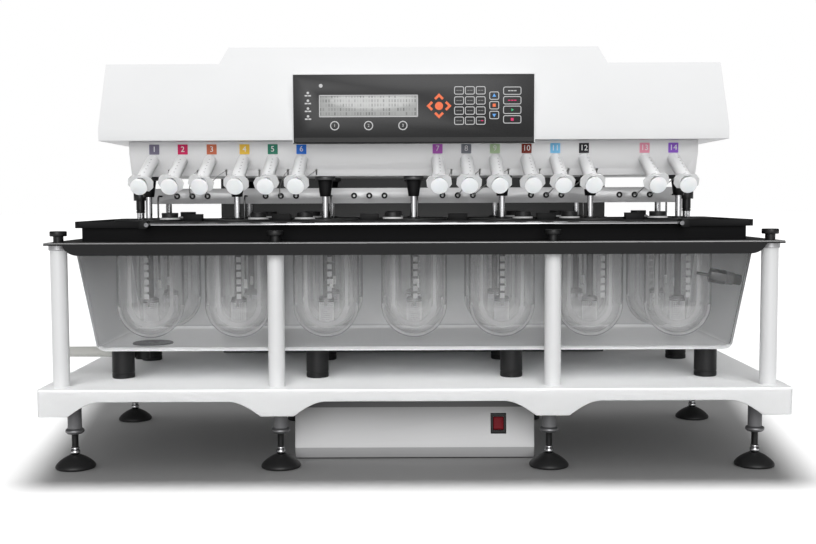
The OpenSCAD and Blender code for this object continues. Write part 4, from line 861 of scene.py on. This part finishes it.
wire_t, wire_sides, wire_rows, floor_rings = 0.0006, 24, 11, 2
hub_z = mm * basket_top


def woven_basket():
    """Round wire cloth: a tube and a floor of wires."""
    bm = bmesh.new()
    bmesh.ops.create_cone(
        bm, segments=wire_sides, radius1=basket_r, radius2=basket_r, depth=basket_h,
        cap_ends=True, cap_tris=False,
    )
    bmesh.ops.delete(bm, geom=[f for f in bm.faces if f.normal.z > 0.9], context="FACES_ONLY")
    upright = [e for e in bm.edges if abs(e.verts[0].co.z - e.verts[1].co.z) > basket_h / 2]
    bmesh.ops.subdivide_edges(bm, edges=upright, cuts=wire_rows, use_grid_fill=True)
    for _ in range(floor_rings):
        bottom = [f for f in bm.faces if f.normal.z < -0.9 and len(f.verts) > 4]
        bmesh.ops.inset_region(bm, faces=bottom, thickness=basket_r / 3)
    bmesh.ops.wireframe(
        bm, faces=bm.faces[:], thickness=wire_t, offset=0,
        use_replace=True, use_boundary=True, use_even_offset=True,
    )
    return as_mesh(bm)


basket = woven_basket()
band_h = 0.0024
band = turned([(11.2, 0), (11.9, 0), (11.9, band_h * mm), (11.2, band_h * mm)], 32, closed=True)
hub = turned(
    [(5, hub_z - 1), (11.5, hub_z - 1), (11.5, hub_z + 1), (10, hub_z + 1.6), (10, hub_z + 5.2),
     (9.2, hub_z + 6), (6.2, hub_z + 6), (5, hub_z + 7.5)], 36,
)
pulley = turned([(5, 518), (17.4, 518), (18, 518.6), (18, 531.4), (17.4, 532), (5, 532)], 48)
clip_bm = unit_cube()
bmesh.ops.scale(clip_bm, vec=(0.0012, 0.004, 0.012), verts=clip_bm.verts)
bevel(clip_bm, clip_bm.edges[:], 0.0004, 1)
clip = as_mesh(clip_bm)
clip_r, clip_z, clip_turns = 0.0121, basket_top - 0.002, (30, 150, 270)
for name in spindle_names:
    axis = axes[name]
    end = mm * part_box(name)[1].z
    shaft = turned(
        [(0, hub_z - 2), (5, hub_z - 2), (5, vessel_rim), (5, end - 0.6), (4.4, end), (0, end)], 32
    )
    # Painted shade: the shaft is dark below the vessel rims.
    for face in shaft.polygons:
        face.material_index = 4 if mm * face.center.z < vessel_rim else 0
    spindle = bmesh.new()
    stamp(spindle, shaft, at(*axis), None)
    stamp(spindle, hub, at(*axis), 1)
    stamp(spindle, basket, at(*axis, basket_foot + basket_h / 2), 2)
    stamp(spindle, band, at(*axis, basket_foot - 0.0002), 2)
    stamp(spindle, band, at(*axis, basket_top - band_h), 1)
    for turn in clip_turns:
        stamp(spindle, clip, at(*axis, clip_z) @ turn_z(turn) @ at(clip_r, 0), 1)
    stamp(spindle, pulley, at(*axis), 3)
    piece(f"{name}_turned", spindle, name, spindle_finishes, [name])

# Vessel covers
# Black moulded discs that hang on the shafts by a collar. Each has a hole for a sampling tube and
# a stopper, a white disc with a black knob.
cover_black = coated("cover_black", (0.014, 0.014, 0.0145), (0.4, 0.55), grain=900, specular=0.35)
stopper_white = coated("stopper_white", (0.72, 0.72, 0.72), (0.35, 0.5), relief=0.05)
cover_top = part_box("vessel_covers")[0].z + 0.0025
stopper_t, stopper_edge, collar_reach = 0.003, 0.0001, 0.013
covers = eased("vessel_covers", 0.0005)


def on_stopper(p):
    off_axis = min(math.hypot(p.x - x, p.y - y) for x, y in axes.values())
    return stopper_edge < p.z - cover_top < stopper_t - stopper_edge and off_axis > collar_reach


finish_where(covers, 1, on_stopper)
piece(
    "vessel_covers_moulded", covers, "head",
    [cover_black, stopper_white], ["vessel_covers"],
)

# Sampling bar
# A grey anodised bar slides on two black columns. Rubber grommets in its front take the sample
# lines, and bent steel tubes with white filter tips go down from it into the vessels.
bar_grey = coated(
    "bar_grey", (0.36, 0.36, 0.365), (0.32, 0.45), stretch=(0.03, 1, 1), relief=0.1, Metallic=0.3
)
grommet_rubber = coated("grommet_rubber", (0.006, 0.006, 0.006), (0.5, 0.65), specular=0.2)
column_black = coated("column_black", (0.008, 0.008, 0.0085), (0.25, 0.38), specular=0.25)
tube_steel = coated("tube_steel", (0.5, 0.5, 0.51), (0.1, 0.2), **bright)
# The cannulas are steel painted dark: painted shade and dark reflections inside the bath.
cannula_painted_shade = coated("cannula_painted_shade", (0.14, 0.14, 0.142), (0.1, 0.2), **bright)
bar_front, bar_y, bar_end, bar_edge = -0.035, -0.027, 0.434, 0.0002
grommet_group_pitch, grommet_pitch, grommet_z, grommet_r = 0.1454, 0.025, 0.4125, 0.0045
grommet_x = [
    (group - 2.5) * grommet_group_pitch + (k - 1) * grommet_pitch
    for group in range(6) for k in range(3)
]


# The grommets are black rubber; the bores behind them in the bar are painted black, a painted shade.
def in_grommet(p):
    off_axis = min(math.hypot(p.x - x, p.z - grommet_z) for x in grommet_x)
    return p.y < bar_front - bar_edge or off_axis < grommet_r and bar_front + bar_edge < p.y < bar_y


bar = eased("manifold_bar", 0.0005)
finish_where(bar, 1, in_grommet)
finish_where(bar, 2, lambda p: abs(p.x) > bar_end + bar_edge)
bar_piece = piece(
    "manifold_bar_anodised", bar, "sampling_bar",
    [bar_grey, grommet_rubber, column_black], ["manifold_bar"],
)
dress("cannulas", cannula_painted_shade)

filter_white = coated("filter_white", (0.8, 0.8, 0.79), (0.5, 0.65), grain=400, relief=0.2)
tube_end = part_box("cannulas")[0].z
tube_x, tube_y = 0.006, 0.03775
filter_tip = turned([(0, -12), (2.2, -12), (2.7, -11.4), (2.7, 1.2), (1.9, 2.2), (0, 2.2)], 20)
filter_places = [(x + tube_x, y + math.copysign(tube_y, bar_y - y), tube_end) for x, y in axes.values()]
piece(
    "filter_tips", stamped(filter_places, filter_tip), "sampling_bar", [filter_white]
)

column_low, column_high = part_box("guide_columns")
column_r = 7
column_x = column_high.x - column_r / mm
column_foot, column_top = mm * column_low.z, mm * column_high.z
collar = knurled(6, column_foot, column_foot + 11, 0.35, 24)
rod = turned(
    [(0, column_foot + 10.5), (6.4, column_foot + 10.5), (column_r, column_foot + 11.1),
     (column_r, column_foot + 13), (6.3, column_foot + 13.4), (6.3, column_foot + 14.6),
     (column_r, column_foot + 15), (column_r, column_top), (0, column_top)]
)
piece(
    "guide_columns_turned", stamped([(-column_x, bar_y), (column_x, bar_y)], rod, collar), "head",
    [column_black, tube_steel], ["guide_columns"],
)

# Sample lines
# Thin soft plastic tubes. Each comes out of a keyhole slot under the syringes, sags and goes into
# a grommet on the bar.
line_plastic = see_through("line_plastic", (0.5, 0.5, 0.49), (0.25, 0.35), 0.4, 0.75)
face_tilt = math.radians(24)
face_out = Vector((0, -math.cos(face_tilt), -math.sin(face_tilt)))
plunger_names = [f"plunger_{i:02d}" for i in range(1, 15)]
syringe_x = {}
for name in plunger_names:
    low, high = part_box(name)
    syringe_x[name] = (low.x + high.x) / 2
bank_groups = (0, 0, 0, 1, 1, 1, 3, 3, 3, 4, 4, 4, 5, 5)
bank_places = (0, 1, 2, 0, 1, 2, 0, 1, 2, 0, 1, 2, 1, 2)
slot_x, line_sag, line_r = 0.022, 0.018, 0.0009
slot_place = Vector((0, -0.123424, 0.452))
grommet_place = Vector((0, bar_front - 0.0015, grommet_z))
curve = bpy.data.curves.new("sample_lines", "CURVE")
curve.dimensions = "3D"
curve.bevel_depth = line_r
curve.bevel_resolution = 3
curve.resolution_u = 20
curve.use_fill_caps = True
for name, group, k in zip(plunger_names, bank_groups, bank_places):
    start = slot_place + Vector((syringe_x[name] + slot_x, 0, 0))
    end = grommet_place + Vector((grommet_x[3 * group + k], 0, 0))
    spline = curve.splines.new("BEZIER")
    spline.bezier_points.add(1)
    first, last = spline.bezier_points
    first.co = start
    first.handle_right = (
        start + line_sag * face_out + Vector((0.6 * (end.x - start.x), 0, -line_sag / 2))
    )
    first.handle_left = start - line_sag * face_out
    last.co = end
    last.handle_left = end - Vector((0, 1.4 * line_sag, 0))
    last.handle_right = end + Vector((0, line_sag, 0))


def drawn_mesh(data):
    """A mesh of a curve or of a text, without finishes."""
    shape = bpy.data.objects.new("shape", data)
    mesh = bpy.data.meshes.new_from_object(shape)
    bpy.data.objects.remove(shape)
    mesh.materials.clear()
    return mesh


line_mesh = drawn_mesh(curve)
line_mesh.materials.append(line_plastic)
line_mesh.shade_smooth()
lines = placed("sample_lines_soft", line_mesh)
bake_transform(lines)
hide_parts("sample_tubes")

# Syringe panel
# A grey painted sheet folded under the head: a short upright strip with the number tags, and a
# tilted face that the syringes plug into, with keyhole slots for the sample lines.
panel_grey = coated("panel_grey", (0.63, 0.63, 0.635), (0.36, 0.5), grain=1200, relief=0.1, mottle=0.03)
panel_piece = piece(
    "syringe_panel_painted", eased("syringe_panel", 0.0006), "head",
    [panel_grey], ["syringe_panel"],
)

tag_colours = (
    (0.19, 0.175, 0.25), (0.61, 0.02, 0.11), (0.6, 0.16, 0.08), (0.92, 0.58, 0.07), (0.03, 0.22, 0.14),
    (0.03, 0.19, 0.75), (0.5, 0.12, 0.55), (0.2, 0.21, 0.24), (0.5, 0.66, 0.4), (0.24, 0.035, 0.02),
    (0.2, 0.55, 0.85), (0.02, 0.02, 0.024), (0.85, 0.33, 0.44), (0.28, 0.11, 0.6),
)
tag_white = coated("tag_white", (0.8, 0.8, 0.8), (0.35, 0.45))
tag_finishes = [
    coated(f"tag_{i:02d}", colour, (0.3, 0.42), mottle=0.08, specular=0.1)
    for i, colour in enumerate(tag_colours, 1)
]
tag_size, tag_corner, tag_t, tag_z, numeral_h = 0.0155, 0.0008, 0.0003, 0.4845, 0.0085
tag_shifts = (0.0019, 0.0015, 0.0019, 0.0008) + 10 * (0.0,)
strip_y = panel_low.y


def rounded_sheet(width, height, corner):
    """A flat sheet with round corners about the origin."""
    bm = bmesh.new()
    bmesh.ops.create_grid(bm, x_segments=1, y_segments=1, size=0.5)
    bmesh.ops.scale(bm, vec=(width, height, 1), verts=bm.verts)
    bevel(bm, bm.verts[:], corner, 4, "VERTICES")
    return bm


def thickened(bm, thick):
    """Gives a flat sheet its thickness."""
    grown = bmesh.ops.extrude_face_region(bm, geom=bm.faces[:])["geom"]
    raised = [v for v in grown if isinstance(v, bmesh.types.BMVert)]
    bmesh.ops.translate(bm, vec=(0, 0, thick), verts=raised)
    bmesh.ops.recalc_face_normals(bm, faces=bm.faces)


def facing_front(bm, thick):
    """A thin plate of a flat sheet, its face towards -Y."""
    thickened(bm, thick)
    bmesh.ops.transform(bm, matrix=towards_front, verts=bm.verts)
    return as_mesh(bm)


def numeral(text, height, thick):
    """A raised numeral about the origin, its face towards -Y."""
    words = bpy.data.curves.new("numeral", "FONT")
    words.body = text
    words.size = height / 0.7
    words.extrude = thick / 2
    words.align_x = "CENTER"
    words.align_y = "CENTER"
    words.resolution_u = 3
    mesh = drawn_mesh(words)
    mesh.transform(towards_front)
    return mesh


tag_plate = facing_front(rounded_sheet(tag_size, tag_size, tag_corner), tag_t)
tags = bmesh.new()
for i, name in enumerate(plunger_names):
    tag_x = syringe_x[name] + tag_shifts[i]
    stamp(tags, tag_plate, at(tag_x, strip_y, tag_z), i)
    tag_number = numeral(str(i + 1), numeral_h, tag_t)
    stamp(tags, tag_number, at(tag_x, strip_y - tag_t, tag_z), len(plunger_names))
piece("number_tags", tags, "head", tag_finishes + [tag_white])

# Syringes
# Moulded translucent barrels that plug into the tilted face by their nozzles, with eight-sided
# finger flanges and printed dots. The plungers are crossed ribs with a thumb disc and a seal.
barrel_clear = see_through("barrel_clear", (0.8, 0.805, 0.81), (0.35, 0.5), 0.85, 0.95, specular=0.2)
wing_clear = see_through("wing_clear", (0.6, 0.605, 0.61), (0.3, 0.42), 0.85, 0.95, specular=0.3)
plunger_white = coated(
    "plunger_white", (0.76, 0.76, 0.765), (0.3, 0.42), relief=0.04, Subsurface_Weight=0.1
)
seal_black = coated("seal_black", (0.02, 0.02, 0.02), (0.4, 0.5))
ink = coated("ink", (0.36, 0.36, 0.365), (0.4, 0.5))
syringe_foot = Vector((0, -0.13142, 0.46996))
along_syringe = Matrix.Rotation(math.pi / 2 + face_tilt, 4, "X")
barrel_r, bore_r, barrel_foot, barrel_end = 10.0, 9.1, 8.0, 96.0
bore_foot = barrel_foot + 1.8
barrel = turned(
    [(0, 0), (2.6, 0), (3, 0.4), (3, barrel_foot), (barrel_r - 0.6, barrel_foot),
     (barrel_r, barrel_foot + 0.6), (barrel_r, barrel_end - 0.4), (barrel_r - 0.4, barrel_end),
     (bore_r, barrel_end), (bore_r, bore_foot), (0, bore_foot)],
)
wing_t = 0.002
wing_x, wing_flat, wing_shoulder, wing_y = 0.0185, 0.005, 0.0128, 0.0112
wing_corners = [
    (wing_x, -wing_flat), (wing_x, wing_flat), (wing_shoulder, wing_y), (-wing_shoulder, wing_y),
    (-wing_x, wing_flat), (-wing_x, -wing_flat), (-wing_shoulder, -wing_y), (wing_shoulder, -wing_y),
]
wing_bm = bmesh.new()
wing_verts = [wing_bm.verts.new((x, y, 0)) for x, y in wing_corners]
wing_rim = [wing_bm.edges.new(pair) for pair in zip(wing_verts, wing_verts[1:] + wing_verts[:1])]
bmesh.ops.create_circle(wing_bm, cap_ends=False, segments=24, radius=barrel_r / mm - 0.0002)
wing_hole = [e for e in wing_bm.edges if e not in wing_rim]
bmesh.ops.bridge_loops(wing_bm, edges=wing_rim + wing_hole)
thickened(wing_bm, wing_t)
wing = as_mesh(wing_bm)
wing_turns = (-8, -17, -15, -4, 14, 0, 6, -4, 2, 8, -6, 3, 12, -3)
mark_first, mark_pitch, mark_count, mark_turn = 0.026, 0.0125, 5, -14
# A short dark bar lies across each barrel near its end.
dark_bar_z, dark_bar_turn = 0.0885, 20
dot_size = Matrix.Diagonal((0.0022, 0.0006, 0.0022, 1))
dark_bar_size = Matrix.Diagonal((0.0065, 0.0008, 0.0012, 1))
wing_place = at(0, 0, barrel_end / mm - wing_t)
dark_bar_place = turn_z(dark_bar_turn) @ at(0, barrel_r / mm - 0.0002, dark_bar_z)
barrels = bmesh.new()
marks = bmesh.new()
for name, turn in zip(plunger_names, wing_turns):
    syringe = Matrix.Translation(syringe_foot + Vector((syringe_x[name], 0, 0))) @ along_syringe
    stamp(barrels, barrel, syringe, 0)
    stamp(barrels, wing, syringe @ wing_place @ turn_z(turn), 1)
    for k in range(mark_count):
        dot = turn_z(mark_turn) @ at(0, barrel_r / mm - 0.0001, mark_first + k * mark_pitch)
        stamp(marks, tick_block, syringe @ dot @ dot_size)
    stamp(marks, tick_block, syringe @ dark_bar_place @ dark_bar_size)
barrel_piece = piece(
    "syringe_barrels_moulded", barrels, "head",
    [barrel_clear, wing_clear], ["syringe_barrels"],
)
piece("syringe_scales", marks, "head", [ink])
seal_end = 0.0185
plunger_pieces = []
for name in plunger_names:
    plunger = eased(name, 0.0003)
    finish_where(plunger, 1, lambda p: (Vector((0, p.y, p.z)) - syringe_foot).dot(face_out) < seal_end)
    plunger_pieces.append(
        piece(f"{name}_moulded", plunger, name, [plunger_white, seal_black], [name])
    )

# Head cover and control panel
# One folded and welded sheet cover, powder coated white, with a raised middle and a console at its
# front. A black membrane panel fills the console, with a display window and printed keys.
panel_film = coated(
    "panel_film", (0.014, 0.014, 0.0144), (0.24, 0.36),
    grain=900, relief=0.06, mottle=0.1, specular=0.17,
)
film_fold = coated(
    "film_fold", (0.007, 0.007, 0.0072), (0.3, 0.42), grain=900, relief=0.06, specular=0.2
)
film_low, film_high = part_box("control_panel")
film_x, film_y = (film_low.x + film_high.x) / 2, film_low.y
# Painted sheen: the film is painted paler towards its top.
faded(panel_film, film_low.z, film_high.z, 3.0)
console_edge, hump_half = 0.0025, 0.302


def under_console(p):
    return p.z < film_low.z and abs(p.x) < film_high.x + console_edge and p.y < film_high.y


cover = eased("head_cover", 0.0016, 3, seams=(-hump_half, hump_half))
finish_where(cover, 1, under_console)
piece("head_cover_coated", cover, "head", [white_coat, film_fold], ["head_cover"])
piece(
    "control_panel_film", eased("control_panel", 0.0006), "head",
    [panel_film], ["control_panel"],
)


def make_display():
    """A pale liquid-crystal window with faint rows of cells."""
    finish = coated("display_window", (0.36, 0.37, 0.36), (0.12, 0.2), relief=0.02)
    tree = finish.node_tree
    pale, dark = (0.405, 0.41, 0.405, 1), (0.19, 0.195, 0.19, 1)
    place = node(tree, "TexCoord")
    turn = node(tree, "Mapping", Rotation=(math.pi / 2, 0, 0))
    cells = node(
        tree, "TexBrick", Scale=1, Brick_Width=0.0043, Row_Height=0.0064,
        Mortar_Size=0.0012, Mortar_Smooth=0.4, Color1=pale, Color2=dark, Mortar=pale,
    )
    cells.offset = 0
    wire(
        tree, (place, "Object", turn, "Vector"), (turn, "Vector", cells, "Vector"),
        (cells, "Color", tree.nodes["Principled BSDF"], "Base Color"),
    )
    return finish


piece(
    "display_window_fitted", eased("display_screen", 0.0004), "head",
    [make_display()], ["display_screen"],
)

key_tones = {
    "key_grey": (0.6, 0.6, 0.605), "key_orange": (0.93, 0.19, 0.075), "key_blue": (0.14, 0.42, 0.9),
    "key_green": (0.04, 0.5, 0.2), "key_red": (0.75, 0.03, 0.16), "key_dim": (0.2, 0.2, 0.2),
}
key_finishes = [
    coated(name, tone, (0.4, 0.5), specular=0.2) for name, tone in key_tones.items()
]
grey, orange, blue, green, red, dim, folded = range(7)
print_t, key_h, key_line = 0.0002, 0.0121, 0.0011


def outline(width, height, corner, line):
    """A printed frame with round corners: a sheet with its middle taken out."""
    bm = rounded_sheet(width, height, corner)
    middle = bm.faces[:]
    bmesh.ops.inset_region(bm, faces=middle, thickness=line, use_boundary=True, use_even_offset=True)
    bmesh.ops.delete(bm, geom=middle, context="FACES_ONLY")
    return facing_front(bm, print_t)


def spot(corners):
    """A printed dot, bar or arrow with the given corners."""
    bm = bmesh.new()
    bm.faces.new([bm.verts.new((x, z, 0)) for x, z in corners])
    return facing_front(bm, print_t)


def round_spot(radius, sides=20, turn=0.0):
    steps = [turn + math.tau * k / sides for k in range(sides)]
    return spot([(radius * math.cos(t), radius * math.sin(t)) for t in steps])


def bar_spot(width, height):
    x, z = width / 2, height / 2
    return spot([(-x, -z), (x, -z), (x, z), (-x, z)])


keys = bmesh.new()


def printed(unit, x, z, finish, turn=0.0):
    stamp(keys, unit, at(x, film_y, z) @ Matrix.Rotation(turn, 4, "Y"), finish)


key_frame = outline(0.0146, key_h, 0.0026, key_line)
wide_frame = outline(0.0272, key_h, 0.003, key_line)
word = bar_spot(0.0036, 0.0014)
first_key_x, first_key_z = 0.0679, 0.5684
key_pitch_x, key_pitch_z, key_word_x = 0.0162, -0.0150, 0.0022
for row in range(4):
    for column in range(3):
        key_x = first_key_x + column * key_pitch_x
        key_z = first_key_z + row * key_pitch_z
        printed(key_frame, key_x, key_z, grey)
        printed(word, key_x - key_word_x, key_z, dim)
        printed(word, key_x + key_word_x, key_z, red if row == 3 and column == 2 else dim)
wide_x, wide_pitch = 0.1476, -0.0142
wide_z = [0.5677 + row * wide_pitch for row in range(4)]
for key_z in wide_z:
    printed(wide_frame, wide_x, key_z, grey)
for key_z, finish in zip(wide_z, (grey, red)):
    for word_x in (-0.0045, 0, 0.0045):
        printed(word, wide_x + word_x, key_z, finish)
printed(round_spot(0.0026, 3), wide_x, wide_z[2], green)
printed(bar_spot(0.0042, 0.0042), wide_x, wide_z[3], red)
arrow_x = 0.1206
up_arrow = round_spot(0.0033, 3, math.pi / 2)
arrow_keys = (
    (0.5605, up_arrow, blue, 0), (0.5462, bar_spot(0.0046, 0.0046), orange, 0),
    (0.5317, up_arrow, blue, math.pi),
)
for key_z, sign, finish, turn in arrow_keys:
    printed(key_frame, arrow_x, key_z, grey)
    printed(sign, arrow_x, key_z, finish, turn)
ring_z, ring_frame = 0.5166, outline(0.0138, 0.0138, 0.0067, 0.0014)
for i, ring_x in enumerate((-0.1186, -0.0678, -0.0163), 1):
    printed(ring_frame, ring_x, ring_z, grey)
    printed(numeral(str(i), 0.0044, print_t), ring_x, ring_z, grey)
nav_x, nav_z = 0.0379, 0.5455
printed(round_spot(0.0061), nav_x, nav_z, orange)
nav_arrow = spot(
    [(0, 0.0187), (-0.0072, 0.0115), (-0.0046, 0.0089), (0, 0.0135), (0.0046, 0.0089), (0.0072, 0.0115)]
)
for quarter in range(4):
    printed(nav_arrow, nav_x, nav_z, orange, quarter * math.pi / 2)
printed(round_spot(0.0028), -0.139, 0.576, grey)
light_x, light_z, light_pitch, light_drop = -0.1584, 0.5655, 0.0116, 0.0042
for k in range(4):
    printed(round_spot(0.0019), light_x, light_z - light_pitch * k, grey)
    for word_x in (-0.0026, 0.0026):
        light_word = bar_spot(0.0042, 0.0021)
        printed(light_word, light_x + word_x, light_z - light_drop - light_pitch * k, grey)
fold_h, fold_edge = 0.0068, 0.0008
printed_fold = bar_spot(film_high.x - film_low.x - 2 * fold_edge, fold_h)
printed(printed_fold, film_x, film_low.z + fold_edge + fold_h / 2, folded)
window_low, window_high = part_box("display_screen")
window_size = window_high - window_low
window_edge = 0.0016
window_frame = outline(window_size.x + window_edge, window_size.z + window_edge, 0.0006, 0.0014)
printed(window_frame, window_low.x + window_size.x / 2, window_low.z + window_size.z / 2, grey)
piece("keypad_print", keys, "head", [*key_finishes, film_fold])

# Lamps overhead
# One broad lamp above the object, and small ones for what lies in the shade of the head: in front for
# the tub, the tower, the bar and the syringes, below for the syringe panel, and above for the deck.
slim = (spacer_piece, post_piece, drain_piece)
all_but_deck = lamp_set("all_but_deck", "EXCLUDE", floor, platform_piece)
within = lamp_set(
    "within", "INCLUDE", bath_piece, tower_piece, bar_piece, barrel_piece, *plunger_pieces
)
within_shade = lamp_set("slim", "INCLUDE", *slim)
panel_alone = lamp_set("panel_alone", "INCLUDE", panel_piece)
panel_shade = lamp_set("panel_shade", "INCLUDE", panel_piece)
deck_alone = lamp_set("deck_alone", "INCLUDE", platform_piece)
deck_shade = lamp_set("deck_shade", "INCLUDE", *slim, bath_piece, tower_piece, skirt_flag)
lamp("top_lamp", all_but_deck, no_flags, power=1.5, spread=50, tilt=-13)
lamp("inner_lamp", within, within_shade, power=1.1, spread=30, tilt=70)
lamp("lift_lamp", panel_alone, panel_shade, power=0.78, spread=40, tilt=125)
lamp("deck_lamp", deck_alone, deck_shade, power=1.45, spread=60, tilt=40)
